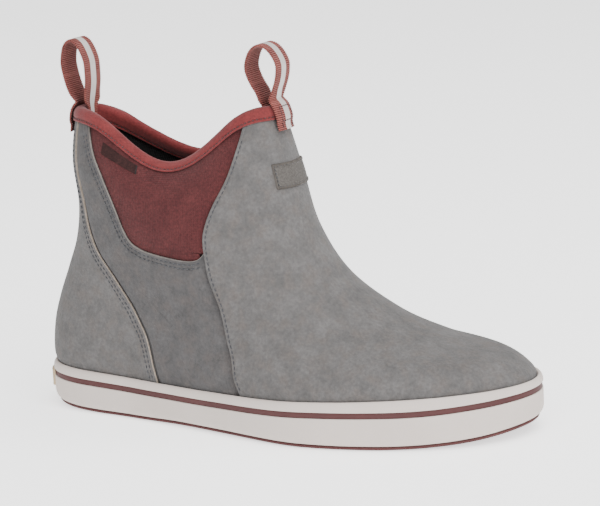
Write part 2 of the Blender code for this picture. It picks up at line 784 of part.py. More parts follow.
def make_stitch_line(name, points, side, material):
    """Raised thread line lying on the leather."""
    spots = mirror(points, side)
    turn = np.array([p[0] for p in spots])
    level = np.array([p[1] for p in spots])
    line = under(turn, level, np.full_like(turn, -0.3))
    top = under(turn, level, np.full_like(turn, -0.75))
    normal = top - line
    ahead = np.gradient(line, axis=0)
    sideways = np.cross(ahead, normal)
    sideways = 0.4 * sideways / np.linalg.norm(sideways, axis=1, keepdims=True)
    rows = [(line[i] + sideways[i], line[i] - sideways[i], top[i]) for i in range(len(spots))]
    verts = [p for row in rows for p in row]
    faces = []
    for i in range(len(rows) - 1):
        for k in range(3):
            m = (k + 1) % 3
            faces.append((i * 3 + k, i * 3 + m, i * 3 + 3 + m, i * 3 + 3 + k))
    last = 3 * (len(rows) - 1)
    faces.append((2, 1, 0))
    faces.append((last, last + 1, last + 2))
    return make_object(name, verts, faces, material)


def vamp_stitches():
    levels = np.linspace(0.03, 0.955, 30)
    return [(float(moved(seam_turn(VAMP_EDGE, v), v, -2.5)), float(v)) for v in levels]


def counter_stitches():
    levels = np.linspace(0.03, 0.955, 30)
    return [(float(moved(seam_turn(COUNTER_EDGE, v), v, 2.5)), float(v)) for v in levels]


def gore_stitches():
    """Thread line 2 mm outside the gore opening."""
    line = [p for p in gore_line() if p[1] < 0.955 and not (p[1] > 0.664 and p[0] < 1.5)]
    out = []
    for i, (t, v) in enumerate(line):
        a = line[max(i - 1, 0)]
        b = line[min(i + 1, len(line) - 1)]
        across = float(stretch(t, v))
        du = (b[0] - a[0]) * across
        dv = (b[1] - a[1]) * 210.0
        size = math.hypot(du, dv)
        out.append((t - 2.2 * dv / size / across, v + 2.2 * du / size / 210.0))
    return out


def loop_line(shape, lean, centre):
    """Centre line of a pull loop in the x-z plane, with its unit normals."""
    index = list(range(len(shape)))
    at = np.linspace(0, len(shape) - 1, 17)
    wide = curve(index, [p[0] for p in shape], at)
    high = curve(index, [p[1] for p in shape], at)
    u = np.concatenate([wide, -wide[-2::-1]])
    w = np.concatenate([high, high[-2::-1]])
    du = np.gradient(u)
    dw = np.gradient(w)
    size = np.hypot(du, dw)
    nu = dw / size
    nw = -du / size
    c = math.cos(math.radians(lean))
    s = math.sin(math.radians(lean))
    x = centre[0] + u * c + w * s
    z = centre[2] + w * c - u * s
    return x, z, nu * c + nw * s, nw * c - nu * s


def make_loop(name, shape, lean, centre, offset, thick, wide, keep, material):
    """Strap bent into a loop; offset is where its inner face lies from the centre line."""
    x, z, nx, nz = loop_line(shape, lean, centre)
    x, z, nx, nz = x[keep], z[keep], nx[keep], nz[keep]
    lows = []
    highs = []
    for i in range(len(x)):
        a = (x[i] + nx[i] * offset, z[i] + nz[i] * offset)
        b = (x[i] + nx[i] * (offset + thick), z[i] + nz[i] * (offset + thick))
        lows.append(((a[0], -wide / 2, a[1]), (a[0], wide / 2, a[1])))
        highs.append(((b[0], -wide / 2, b[1]), (b[0], wide / 2, b[1])))
    points = []
    faces = []
    for (a, b), (c, d) in zip(lows, highs):
        points += [a, b, d, c]
    last = len(lows) - 1
    for i in range(last):
        for k in range(4):
            m = (k + 1) % 4
            faces.append((i * 4 + k, i * 4 + 4 + k, i * 4 + 4 + m, i * 4 + m))
    faces.append((0, 1, 2, 3))
    faces.append((last * 4 + 3, last * 4 + 2, last * 4 + 1, last * 4))
    return make_object(name, points, faces, material, centre)


def turn_for(y, level, middle):
    """Turn near the middle (0 or pi) whose surface point lies at sideways place y."""
    sign = 1.0 if middle == 0 else -1.0
    low, high = -0.9, 0.9
    for _ in range(40):
        mid = 0.5 * (low + high)
        if sign * (float(leather(middle + mid, level)[1]) - y) < 0:
            low = mid
        else:
            high = mid
    return middle + 0.5 * (low + high)


def strap_tab(name, middle, wide, rows, material):
    """Strap end lying on the collar; rows give (height over the collar edge, outer and inner depth)."""
    count = 7
    near = []
    far = []
    edge, _, _ = collar_frame(np.array([float(middle)]))
    per_level = float(np.linalg.norm(edge - leather(np.array([float(middle)]), 0.95))) / 0.05
    for rise_mm, a, b in rows:
        level = 1.0 + min(rise_mm, 0.0) / per_level
        turns = np.array([turn_for(wide * (i / (count - 1) - 0.5), level, middle) for i in range(count)])
        if middle != 0:
            turns = turns[::-1]
        levels = np.full(count, level)
        base = leather(turns, levels)
        n = facing(turns, levels)
        if rise_mm > 0:
            _, _, rise = collar_frame(turns)
            base = base + rise * rise_mm
        near.append(base - n * a)
        far.append(base - n * b)
    verts = list(np.vstack(near)) + list(np.vstack(far))
    layer = count * len(rows)
    faces = []
    for i in range(len(rows) - 1):
        for k in range(count - 1):
            a = i * count + k
            quad = (a, a + 1, a + count + 1, a + count)
            faces.append(quad)
            faces.append(tuple(q + layer for q in quad[::-1]))
    border = [k for k in range(count)]
    border += [i * count + count - 1 for i in range(1, len(rows))]
    border += [(len(rows) - 1) * count + k for k in range(count - 2, -1, -1)]
    border += [i * count for i in range(len(rows) - 2, 0, -1)]
    for i in range(len(border)):
        a = border[i]
        b = border[(i + 1) % len(border)]
        faces.append((b, a, a + layer, b + layer))
    return make_object(name, verts, faces, material)


def hinge_point(middle):
    """Middle of the collar thickness, a little above the binding."""
    p, n, rise = collar_frame(np.array([float(middle)]))
    spot = p[0] - n[0] * 2.6 + rise[0] * HINGE_RISE
    return (round(float(spot[0]), 1), 0.0, round(float(spot[2]), 1))


def main():
    for obj in list(bpy.data.objects):
        bpy.data.objects.remove(obj)
    hide = make_material("grey_nubuck", (0.20, 0.19, 0.188), 0.85)
    gore = make_material("gore_textile", (0.14, 0.045, 0.045), 0.9)
    knit = make_material("binding_knit", (0.22, 0.05, 0.045), 0.85)
    black = make_material("bootie_textile", (0.006, 0.006, 0.006), 0.9)
    rubber = make_material("wall_rubber", (0.52, 0.50, 0.48), 0.6)
    dark = make_material("outsole_rubber", (0.09, 0.03, 0.03), 0.6)
    foam = make_material("midsole_foam", (0.62, 0.60, 0.56), 0.8)
    steel = make_material("shank_steel", (0.45, 0.45, 0.46), 0.35, 1.0)
    board = make_material("insole_fibreboard", (0.42, 0.33, 0.22), 0.9)
    bed = make_material("footbed_foam", (0.05, 0.05, 0.05), 0.85)
    strap = make_material("strap_webbing", (0.25, 0.07, 0.05), 0.85)
    silver = make_material("reflective_tape", (0.58, 0.55, 0.53), 0.4)
    thread = make_material("seam_thread", (0.05, 0.05, 0.055), 0.8)
    stiff = make_material("stiffener_sheet", (0.6, 0.56, 0.48), 0.8)
    badge = make_material("badge_rubber", (0.35, 0.27, 0.18), 0.6)
    patch = make_material("patch_rubber", (0.13, 0.12, 0.115), 0.6)
    label = make_material("label_woven", (0.06, 0.02, 0.02), 0.8)

    make_outsole(dark)
    make_midsole(foam)
    shank_bar("shank", 8.8, 10.2, 8.0, (-84.0, 24.0), steel)
    make_board(board)
    make_wall_lower(rubber)
    make_wall_stripe(dark)
    make_wall_upper(rubber)
    make_badge(badge)
    make_footbed(bed)
    make_bed_cover(black)

    make_vamp(hide)
    make_counter(hide)
    for side, word in ((-1, "outer"), (1, "inner")):
        make_quarter("quarter_" + word, side, hide)
        make_gore("gore_" + word, side, gore)
        make_stitch_line("vamp_stitching_" + word, vamp_stitches(), side, thread)
        make_stitch_line("counter_stitching_" + word, counter_stitches(), side, thread)
        make_stitch_line("gore_stitching_" + word, gore_stitches(), side, thread)
    make_lining(black)
    make_binding(knit)
    puff = [(-0.94 + 0.094 * i) for i in range(21)]
    patch_on_upper("toe_puff", puff, [-0.06, 0.0, 0.05, 0.10, 0.15, 0.20], 1.8, 2.9, stiff)
    cup = [math.pi - 0.84 + 0.084 * i for i in range(21)]
    patch_on_upper("heel_stiffener", cup, [-0.06, 0.0, 0.09, 0.18, 0.27, 0.36], 1.8, 2.9, stiff)
    front = [-0.43 + 0.86 * i / 12 for i in range(13)]
    patch_on_upper("front_patch", front, [0.835, 0.852, 0.870, 0.887], -1.4, -GAP, patch)
    tag = [-2.18 + 0.08 * i for i in range(6)]
    patch_on_upper("side_label", tag, [0.9165, 0.9335, 0.9505], STEP - 0.9, STEP - GAP, label)

    outside = [(-13.5, -1.65, -0.35), (-11.5, -1.65, -0.35), (-9.4, -1.7, -0.4), (-7.3, -3.15, -1.85),
               (-3.5, -3.25, -1.95), (-0.5, -3.1, -1.8), (1.2, -2.6, -1.3)]
    inside = [(-13.5, 5.5, 6.8), (-11.5, 5.5, 6.8), (-9.4, 5.5, 6.8), (-7.3, 6.4, 7.7),
              (-3.5, 6.5, 7.8), (-0.5, 6.4, 7.7), (1.2, 6.0, 7.3), (2.4, 5.7, 7.0)]
    mark = [(-12.6, -2.3, -1.95), (-11.0, -2.3, -1.95), (-9.4, -2.35, -2.0), (-7.3, -3.8, -3.45),
            (-3.5, -3.9, -3.55), (-0.5, -3.75, -3.4)]
    places = [("front", 0, FRONT_LOOP, FRONT_LEAN), ("rear", math.pi, REAR_LOOP, REAR_LEAN)]
    for word, middle, shape, lean in places:
        centre = hinge_point(middle)
        strap_tab(word + "_tab_outside", middle, 17.0, outside, strap)
        strap_tab(word + "_tab_inside", middle, 22.0, inside, strap)
        strap_tab(word + "_tab_stripe", middle, 6.4, mark, silver)
        every = slice(None)
        inner = slice(4, -4)
        half = STRAP_THICK / 2
        make_loop(word + "_loop", shape, lean, centre, -half, STRAP_THICK, STRAP_WIDE, every, strap)
        make_loop(word + "_loop_stripe", shape, lean, centre, half + GAP, 0.35, 6.4, inner, silver)


main()
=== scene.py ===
"""Looks of the ankle deck boot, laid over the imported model.

Lengths are millimetres in the plan of the part until a mesh is written; MIDDLE moves the plan to the frame.
"turn" runs round the foot (0 at the toe, +-pi at the heel, negative on the outer side) and "level" climbs
from the feather line (0) to the collar (1).
"""

import math

import bpy
import numpy as np
from mathutils import Matrix, Vector


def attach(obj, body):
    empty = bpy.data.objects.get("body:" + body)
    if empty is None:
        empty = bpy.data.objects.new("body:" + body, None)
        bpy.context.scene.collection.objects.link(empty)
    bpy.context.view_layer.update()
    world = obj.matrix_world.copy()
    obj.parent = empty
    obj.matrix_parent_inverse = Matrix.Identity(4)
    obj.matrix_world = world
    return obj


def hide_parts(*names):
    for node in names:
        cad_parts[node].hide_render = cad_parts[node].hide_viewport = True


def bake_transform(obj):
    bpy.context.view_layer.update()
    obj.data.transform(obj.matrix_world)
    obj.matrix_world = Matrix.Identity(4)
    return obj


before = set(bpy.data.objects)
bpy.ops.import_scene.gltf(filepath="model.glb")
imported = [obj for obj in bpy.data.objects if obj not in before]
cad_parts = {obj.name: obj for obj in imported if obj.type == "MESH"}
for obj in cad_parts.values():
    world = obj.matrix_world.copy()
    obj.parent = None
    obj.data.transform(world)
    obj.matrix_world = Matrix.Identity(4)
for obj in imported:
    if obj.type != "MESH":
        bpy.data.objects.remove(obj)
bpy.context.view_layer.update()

MM = 0.001
MIDDLE = np.array([-0.6, -5.03, 0.0])

# ---- the boot's own surface, as in the part ------------------------------------------------------
LENGTH = 302.0
STATIONS = [0.00, 0.06, 0.16, 0.30, 0.45, 0.60, 0.72, 0.83, 0.93, 1.00]
OUTER_HALF = [68.0, 57.0, 45.5, 44.5, 52.0, 62.5, 66.0, 68.0, 69.5, 69.5]
INNER_HALF = [73.0, 64.0, 47.5, 37.5, 35.0, 42.0, 51.5, 61.0, 67.5, 71.0]
TOE_SWING = 9.0
GROUND_X = [-151.0, -130.0, -105.0, -80.0, -50.0, 0.0, 35.0, 80.0, 105.0, 130.0, 151.0]
GROUND_Z = [2.6, 0.9, 0.0, 0.0, 0.6, 0.5, 0.0, 0.0, 0.8, 3.0, 6.8]
WALL_X = [-151.0, -100.0, -50.0, 0.0, 50.0, 100.0, 130.0, 151.0]
WALL_Z = [27.0, 25.0, 24.0, 25.0, 27.0, 29.0, 30.2, 30.8]
STRIPE_X = [-151.0, -50.0, 50.0, 110.0, 151.0]
STRIPE_DROP = [7.1, 6.7, 7.3, 8.0, 6.0]
LEVELS = [0.00, 0.10, 0.22, 0.36, 0.50, 0.62, 0.74, 0.87, 1.00]
FRONT_X = [147.5, 145.5, 134.5, 108.5, 73.0, 41.5, 23.0, 13.5, 4.0]
FRONT_Z = [30.0, 33.8, 41.6, 47.2, 60.5, 81.5, 109.5, 145.0, 179.5]
REAR_X = [-147.5, -150.0, -148.5, -143.5, -136.0, -129.0, -126.0, -128.5, -125.0]
REAR_Z = [25.0, 32.0, 49.0, 66.5, 84.5, 102.0, 122.0, 149.0, 176.0]
SWELL = [1.00, 1.00, 0.97, 0.93, 0.88, 0.85, 0.86, 0.88, 0.90]
SHAFT_SHARE = [0.00, 0.00, 0.12, 0.35, 0.60, 0.80, 0.95, 1.00, 1.00]
SHAFT_HALF = [40.0, 40.0, 40.0, 40.0, 40.0, 40.5, 40.0, 36.0, 22.5]
FLAT_FRONT = [0.00, 0.00, 0.02, 0.04, 0.07, 0.10, 0.12, 0.18, 0.38]
FLAT_REAR = [0.00, 0.00, 0.02, 0.04, 0.07, 0.10, 0.12, 0.14, 0.25]
COLLAR_DIP = 27.5
DIP_SHARPNESS = 5.8
INNER_SHARPNESS = 3.2
DIP_SHIFT = 0.42
UPPER_INSET = 3.5
SKIRT_HEIGHT = 10.8
LEATHER = 1.4
STEP = 1.7
LAP = 1.95
LAP_WIDTH = 6.0
LINING_TOP = 3.7
LINING_THICK = 1.5
VAMP_EDGE = [(-0.10, 1.60), (0.00, 1.60), (0.15, 1.60), (0.37, 1.53), (0.52, 1.42), (0.66, 1.32),
             (0.76, 1.23), (0.82, 1.11), (0.88, 0.94), (0.93, 0.82), (1.00, 0.64)]
COUNTER_EDGE = [(-0.10, 2.02), (0.03, 2.02), (0.18, 2.03), (0.31, 2.05), (0.45, 2.11), (0.54, 2.21),
                (0.62, 2.37), (0.70, 2.50), (0.80, 2.59), (0.89, 2.66), (1.00, 2.76)]
GORE_EDGE = [(1.00, 2.47), (0.96, 2.40), (0.91, 2.29), (0.86, 2.16), (0.81, 2.08), (0.76, 2.03),
             (0.715, 1.99), (0.680, 1.94), (0.664, 1.86), (0.658, 1.76), (0.656, 1.62), (0.658, 1.48),
             (0.668, 1.38), (0.690, 1.31)]
HINGE_RISE = 6.0
HINGE_DEPTH = 2.6
FRONT_LOOP = [(3.6, -0.6), (4.5, 2.2), (5.4, 4.6), (7.5, 8.8), (9.2, 13.8), (9.7, 19.0), (7.2, 25.2), (3.8,
        28.9), (0.0, 30.3)]
REAR_LOOP = [(3.6, -0.6), (4.5, 2.2), (5.3, 4.6), (6.6, 9.6), (7.5, 16.6), (7.6, 22.6), (5.5, 29.8), (3.0,
        33.5), (0.0, 35.0)]
FRONT_LEAN = -6.5
REAR_LEAN = -6.3
HIGH = 0.985


def curve(xs, ys, x):
    """Smooth curve through the given points, read at x."""
    xs = np.asarray(xs, float)
    ys = np.asarray(ys, float)
    x = np.clip(np.asarray(x, float), xs[0], xs[-1])
    h = np.diff(xs)
    slope = np.diff(ys) / h
    m = np.empty_like(ys)
    m[1:-1] = (slope[:-1] * h[1:] + slope[1:] * h[:-1]) / (h[:-1] + h[1:])
    m[0] = 1.5 * slope[0] - 0.5 * m[1]
    m[-1] = 1.5 * slope[-1] - 0.5 * m[-2]
    i = np.clip(np.searchsorted(xs, x, side="right") - 1, 0, len(xs) - 2)
    t = (x - xs[i]) / h[i]
    start = (1 + 2 * t) * (1 - t) ** 2 * ys[i] + t * (1 - t) ** 2 * h[i] * m[i]
    end = t * t * (3 - 2 * t) * ys[i + 1] + t * t * (t - 1) * h[i] * m[i + 1]
    return start + end


def ground(x):
    return np.maximum(curve(GROUND_X, GROUND_Z, x), 0.0)


def wall_top(x):
    return curve(WALL_X, WALL_Z, x)


def stripe_middle(x):
    return wall_top(x) - curve(STRIPE_X, STRIPE_DROP, x)


def half_width(turn, along):
    outer = curve(STATIONS, OUTER_HALF, along)
    inner = curve(STATIONS, INNER_HALF, along)
    return np.where(np.sin(turn) < 0, outer, inner)


def swing(along):
    return TOE_SWING * np.clip(along - 0.45, 0, 1) ** 2 / 0.3025


def sole_edge(turn):
    along = 0.5 + 0.5 * np.cos(turn)
    x = np.cos(turn) * LENGTH / 2
    y = half_width(turn, along) * np.sin(turn) + swing(along)
    return x, y


def outline(turn, inset):
    """Plan outline of the sole moved inward by inset."""
    turn = np.asarray(turn, float)
    x, y = sole_edge(turn)
    ahead = sole_edge(turn + 0.02)
    behind = sole_edge(turn - 0.02)
    dx = ahead[0] - behind[0]
    dy = ahead[1] - behind[1]
    size = np.hypot(dx, dy)
    return x - inset * dy / size, y + inset * dx / size


def section(turn, k):
    """Key section number k of the leather surface."""
    along = 0.5 + 0.5 * np.cos(turn)
    sine = np.abs(np.sin(turn))
    if k == 0:
        x, y = outline(turn, UPPER_INSET)
        return np.stack([x, y, wall_top(x) - 1.5], -1)
    x = REAR_X[k] + (FRONT_X[k] - REAR_X[k]) * along
    share = SHAFT_SHARE[k]
    wide = (1 - share) * (half_width(turn, along) - 3.0) * SWELL[k] + share * SHAFT_HALF[k]
    flat = FLAT_FRONT[k] * along + FLAT_REAR[k] * (1 - along)
    y = np.sign(np.sin(turn)) * wide * sine ** (1 - flat) + swing(along) * (1 - share)
    z = REAR_Z[k] + (FRONT_Z[k] - REAR_Z[k]) * along
    drop = max(LEVELS[k] - 0.6, 0) / 0.4
    sharp = np.where(np.sin(turn) > 0, INNER_SHARPNESS, DIP_SHARPNESS)
    z = z - COLLAR_DIP * drop ** 2 * sine ** sharp * (1 + DIP_SHIFT * np.cos(turn))
    return np.stack([x, y, z], -1)


def leather(turn, level):
    """Points of the outer leather surface."""
    turn, level = np.broadcast_arrays(np.asarray(turn, float), np.asarray(level, float))
    keys = np.stack([section(turn, k) for k in range(len(LEVELS))])
    at = np.asarray(LEVELS)
    h = np.diff(at)
    tall = h.reshape((-1,) + (1,) * (keys.ndim - 1))
    slope = np.diff(keys, axis=0) / tall
    m = np.empty_like(keys)
    m[1:-1] = (slope[:-1] * tall[1:] + slope[1:] * tall[:-1]) / (tall[:-1] + tall[1:])
    m[0] = 1.5 * slope[0] - 0.5 * m[1]
    m[-1] = 1.5 * slope[-1] - 0.5 * m[-2]
    up = np.clip(level, 0, None)
    i = np.clip(np.searchsorted(at, up, side="right") - 1, 0, len(at) - 2)
    t = ((up - at[i]) / h[i])[..., None]
    size = h[i][..., None]

    def pick(values, j):
        return np.take_along_axis(values, j[None, ..., None], 0)[0]

    out = (1 + 2 * t) * (1 - t) ** 2 * pick(keys, i) + t * (1 - t) ** 2 * size * pick(m, i)
    out = out + t * t * (3 - 2 * t) * pick(keys, i + 1) + t * t * (t - 1) * size * pick(m, i + 1)
    down = np.clip(-level / 0.1, 0, 1)
    low = ground(out[..., 0]) + SKIRT_HEIGHT
    out[..., 2] = out[..., 2] + (low - out[..., 2]) * down
    return out


def facing(turn, level):
    """Outward normal of the leather surface."""
    turn, level = np.broadcast_arrays(np.asarray(turn, float), np.asarray(level, float))
    e = 0.002
    a = leather(turn + e, level) - leather(turn - e, level)
    b = leather(turn, np.clip(level + e, -0.1, 1.0)) - leather(turn, np.clip(level - e, -0.1, 1.0))
    n = np.cross(a, b)
    return n / np.linalg.norm(n, axis=-1, keepdims=True)


def under(turn, level, depth):
    """Points at the given depth below the outer leather surface."""
    return leather(turn, level) - facing(turn, level) * np.asarray(depth, float)[..., None]


def seam_turn(seam, level):
    return curve([p[0] for p in seam], [p[1] for p in seam], level)


def stretch(turn, level):
    """Millimetres of leather per radian of turn."""
    e = 0.004
    step = leather(turn + e, level) - leather(turn - e, level)
    return np.linalg.norm(step, axis=-1) / (2 * e)


def moved(turn, level, distance):
    return turn + distance / stretch(turn, level)


def collar_frame(turn):
    """Point, outward normal and rising direction at the collar edge."""
    turn = np.asarray(turn, float)
    p = leather(turn, np.ones_like(turn))
    n = facing(turn, np.ones_like(turn))
    rise = p - leather(turn, np.full_like(turn, 0.985))
    return p, n, rise / np.linalg.norm(rise, axis=-1, keepdims=True)


def dip(turn, level):
    """How far the quarter sinks where the vamp or the counter laps over it (0 to 1)."""
    side = np.abs(turn)
    size = stretch(turn, level)
    from_vamp = (side - seam_turn(VAMP_EDGE, level)) * size
    from_counter = (seam_turn(COUNTER_EDGE, level) - side) * size
    a = np.clip((6.0 - from_vamp) / 5.0, 0, 1)
    b = np.clip((3.8 - from_counter) / 3.2, 0, 1)
    share = np.maximum(a, b)
    return share * share * (3 - 2 * share)


def gore_line(count=120):
    """Edge of the gore opening, rear top to front bottom."""
    index = list(range(len(GORE_EDGE)))
    at = np.linspace(0, len(GORE_EDGE) - 1, count)
    return curve(index, [p[1] for p in GORE_EDGE], at), curve(index, [p[0] for p in GORE_EDGE], at)


def hug(turn):
    """The collar binding sinks onto the gore between the leather edges (0 to 1)."""
    side = np.abs((turn + math.pi) % (2 * math.pi) - math.pi)
    a = np.clip((side - 0.74) / 0.30, 0, 1)
    b = np.clip((2.40 - side) / 0.30, 0, 1)
    share = a * b
    return share * share * (3 - 2 * share)


def beside(turn, level, distance):
    """The line at the given distance to the left of a line on the upper, seen from outside."""
    e = 0.003
    along = (leather(turn + e, level) - leather(turn - e, level)) / (2 * e)
    rise = (leather(turn, level + e) - leather(turn, level - e)) / (2 * e)
    n = np.cross(along, rise)
    n = n / np.linalg.norm(n, axis=1, keepdims=True)
    t = np.gradient(leather(turn, level), axis=0)
    t = t / np.linalg.norm(t, axis=1, keepdims=True)
    w = np.cross(n, t) * distance
    a = (along * along).sum(1)
    b = (along * rise).sum(1)
    c = (rise * rise).sum(1)
    p = (w * along).sum(1)
    q = (w * rise).sum(1)
    det = a * c - b * b
    return turn + (p * c - q * b) / det, level + (q * a - p * b) / det


def near_line(points, line):
    """Distance of each point to a line of points."""
    flat = points.reshape(-1, 3)
    a = line[:-1]
    d = line[1:] - a
    dd = np.maximum((d * d).sum(1), 1e-12)
    best = np.empty(len(flat))
    for i in range(0, len(flat), 4000):
        v = flat[i:i + 4000, None, :] - a[None]
        t = np.clip((v * d[None]).sum(2) / dd, 0, 1)
        best[i:i + 4000] = np.linalg.norm(v - t[..., None] * d[None], axis=2).min(1)
    return best.reshape(points.shape[:-1])


def spread(line, count):
    """The line's points shared out evenly by length; line is a list of columns."""
    step = np.hypot(np.diff(line[0]) * 50.0, np.diff(line[1]) * 200.0)
    at = np.concatenate([[0], np.cumsum(step)])
    s = np.linspace(0, at[-1], count) if np.isscalar(count) else np.asarray(count) * at[-1]
    return np.interp(s, at, line[0]), np.interp(s, at, line[1])


# ---- node materials ------------------------------------------------------------------------------
def add(tree, kind, values=(), **settings):
    n = tree.nodes.new(kind)
    for key, value in settings.items():
        setattr(n, key, value)
    for key, value in dict(values).items():
        n.inputs[key].default_value = value
    return n


def noise(tree, vector, scale, detail=3.0, rough=0.55):
    n = add(tree, "ShaderNodeTexNoise", {"Scale": scale, "Detail": detail, "Roughness": rough})
    tree.links.new(vector, n.inputs["Vector"])
    return n.outputs["Fac"]


def ranged(tree, value, low, high, to_low, to_high):
    n = add(tree, "ShaderNodeMapRange", {1: low, 2: high, 3: to_low, 4: to_high})
    tree.links.new(value, n.inputs[0])
    return n.outputs[0]


def blended(tree, share, a, b, mode="MIX"):
    n = add(tree, "ShaderNodeMix", data_type="RGBA", blend_type=mode)
    for key, value in ((0, share), (6, a), (7, b)):
        if isinstance(value, bpy.types.NodeSocket):
            tree.links.new(value, n.inputs[key])
        elif key == 0:
            n.inputs[key].default_value = value
        else:
            n.inputs[key].default_value = (*value, 1.0)
    return n.outputs[2]


def maths(tree, operation, a, b=0.0):
    n = add(tree, "ShaderNodeMath", operation=operation)
    for key, value in ((0, a), (1, b)):
        if isinstance(value, bpy.types.NodeSocket):
            tree.links.new(value, n.inputs[key])
        else:
            n.inputs[key].default_value = value
    return n.outputs[0]


def wave(tree, vector, scale, direction, distortion=0.0):
    n = add(tree, "ShaderNodeTexWave", {"Scale": scale, "Distortion": distortion, "Detail": 1.0},
            wave_type="BANDS", bands_direction=direction)
    tree.links.new(vector, n.inputs["Vector"])
    return n.outputs["Fac"]


def cells(tree, vector, scale):
    n = add(tree, "ShaderNodeTexVoronoi", {"Scale": scale, "Randomness": 0.7})
    tree.links.new(vector, n.inputs["Vector"])
    return n.outputs["Distance"]


def finish_material(name, dark, light, blotch, grain, grain_share, rough, bumps,
                    span=(0.3, 0.7), sheen=0.0, metallic=0.0, specular=0.25, warm=None):
    """Mottled colour with fine grain; bumps are (kind, scale, millimetres) relief layers."""
    material = bpy.data.materials.new(name)
    material.use_nodes = True
    tree = material.node_tree
    shader = tree.nodes["Principled BSDF"]
    place = add(tree, "ShaderNodeTexCoord").outputs["Object"]
    patches = ranged(tree, noise(tree, place, blotch, 4.0, 0.6), *span, 0.0, 1.0)
    colour = blended(tree, patches, dark, light)
    if warm:
        tint = ranged(tree, noise(tree, place, blotch * 1.7, 2.0, 0.5), 0.45, 0.72, 0.0, 1.0)
        colour = blended(tree, tint, colour, warm)
    fine = noise(tree, place, grain, 3.0, 0.6)
    shade = ranged(tree, fine, 0.25, 0.75, 1.0 - grain_share, 1.0 + grain_share)
    grey = add(tree, "ShaderNodeCombineColor")
    for k in range(3):
        tree.links.new(shade, grey.inputs[k])
    colour = blended(tree, 1.0, colour, grey.outputs[0], "MULTIPLY")
    tree.links.new(colour, shader.inputs["Base Color"])
    roughness = ranged(tree, fine, 0.2, 0.8, max(rough - 0.07, 0.05), min(rough + 0.07, 1.0))
    tree.links.new(roughness, shader.inputs["Roughness"])
    normal = None
    for kind, scale, height in bumps:
        if kind == "grain":
            value = noise(tree, place, scale, 3.0, 0.65)
        elif kind == "cells":
            value = cells(tree, place, scale)
        elif kind == "knit":
            a = wave(tree, place, scale, "Z")
            b = wave(tree, place, scale * 0.85, "X")
            value = maths(tree, "MULTIPLY", a, b)
        else:
            value = wave(tree, place, scale, kind)
        bump = add(tree, "ShaderNodeBump", {"Strength": 1.0, "Distance": height * MM})
        tree.links.new(value, bump.inputs["Height"])
        if normal is not None:
            tree.links.new(normal, bump.inputs["Normal"])
        normal = bump.outputs[0]
    if normal is not None:
        tree.links.new(normal, shader.inputs["Normal"])
    shader.inputs["Metallic"].default_value = metallic
    shader.inputs["Specular IOR Level"].default_value = specular
    shader.inputs["Sheen Weight"].default_value = sheen
    return material


NUBUCK = finish_material("nubuck", (0.073, 0.0700, 0.0690), (0.106, 0.1012, 0.0998), 88.0, 560.0, 0.22,
        0.88, [("grain", 260.0, 0.34), ("grain", 1000.0, 0.26)], span=(0.33, 0.67), sheen=0.08,
        specular=0.22, warm=(0.096, 0.086, 0.081))
NUBUCK_DARK = finish_material("nubuck_quarter", (0.053, 0.0508, 0.0512), (0.075, 0.0720, 0.0723), 88.0,
        560.0, 0.22, 0.88, [("grain", 260.0, 0.34), ("grain", 1000.0, 0.26)], span=(0.34, 0.68), sheen=0.08,
        specular=0.22, warm=(0.074, 0.066, 0.0635))
CUT_EDGE = finish_material("leather_cut_edge", (0.125, 0.112, 0.102), (0.185, 0.168, 0.152), 160.0, 900.0,
        0.2, 0.9, [("grain", 900.0, 0.2)], span=(0.35, 0.65), specular=0.2)
TAN_EDGE = finish_material("leather_tan_edge", (0.26, 0.215, 0.175), (0.36, 0.305, 0.255), 160.0, 900.0,
        0.2, 0.9, [("grain", 900.0, 0.2)], span=(0.35, 0.65), specular=0.2)
GORE = finish_material("gore_stretch_textile", (0.050, 0.0112, 0.0120), (0.068, 0.0162, 0.0166), 110.0,
        800.0, 0.42, 0.92, [("knit", 330.0, 0.12), ("grain", 900.0, 0.28)], sheen=0.10, specular=0.18)
KNIT = finish_material("binding_knit", (0.110, 0.0160, 0.0166), (0.144, 0.0230, 0.0228), 90.0, 900.0, 0.30,
        0.88, [("knit", 400.0, 0.10), ("grain", 1000.0, 0.18)], sheen=0.14, specular=0.20)
WEBBING = finish_material("strap_webbing", (0.160, 0.041, 0.034), (0.215, 0.060, 0.048), 110.0, 1700.0,
        0.28, 0.82, [("grain", 1700.0, 0.12)], sheen=0.10)
# Darker copy of the webbing for the rib troughs: painted shade in the hollows between the ribs.
WEBBING_TROUGH_SHADE = finish_material("strap_webbing_painted_trough_shade", (0.046, 0.0110, 0.0100), (0.066, 0.0160, 0.0140), 110.0,
        1700.0, 0.28, 0.9, [("grain", 1700.0, 0.12)], specular=0.15)
REFLECT = finish_material("reflective_tape", (0.37, 0.345, 0.325), (0.44, 0.41, 0.39), 90.0, 2600.0, 0.08,
        0.42, [("cells", 2400.0, 0.03)], specular=0.5)
LINING = finish_material("bootie_textile", (0.0060, 0.0055, 0.0055), (0.0160, 0.0145, 0.0145), 160.0, 900.0,
        0.45, 0.93, [("knit", 260.0, 0.35), ("grain", 900.0, 0.2)], sheen=0.08)
WALL = finish_material("wall_rubber", (0.468, 0.408, 0.370), (0.510, 0.448, 0.410), 22.0, 700.0, 0.02, 0.62,
        [("grain", 420.0, 0.05), ("grain", 1500.0, 0.02)], specular=0.4)
WALL_LINE = finish_material("wall_stripe_rubber", (0.052, 0.0155, 0.0155), (0.068, 0.0210, 0.0205), 40.0,
        900.0, 0.06, 0.6, [("grain", 700.0, 0.05)], specular=0.28)
TREAD = finish_material("outsole_rubber", (0.056, 0.0155, 0.0150), (0.078, 0.0225, 0.0215), 30.0, 800.0,
        0.10, 0.66, [("grain", 520.0, 0.10), ("grain", 1500.0, 0.04)], specular=0.3)
THREAD = finish_material("seam_thread", (0.020, 0.021, 0.025), (0.042, 0.044, 0.051), 400.0, 2500.0, 0.25,
        0.75, [("X", 1400.0, 0.05)], sheen=0.2, specular=0.3)
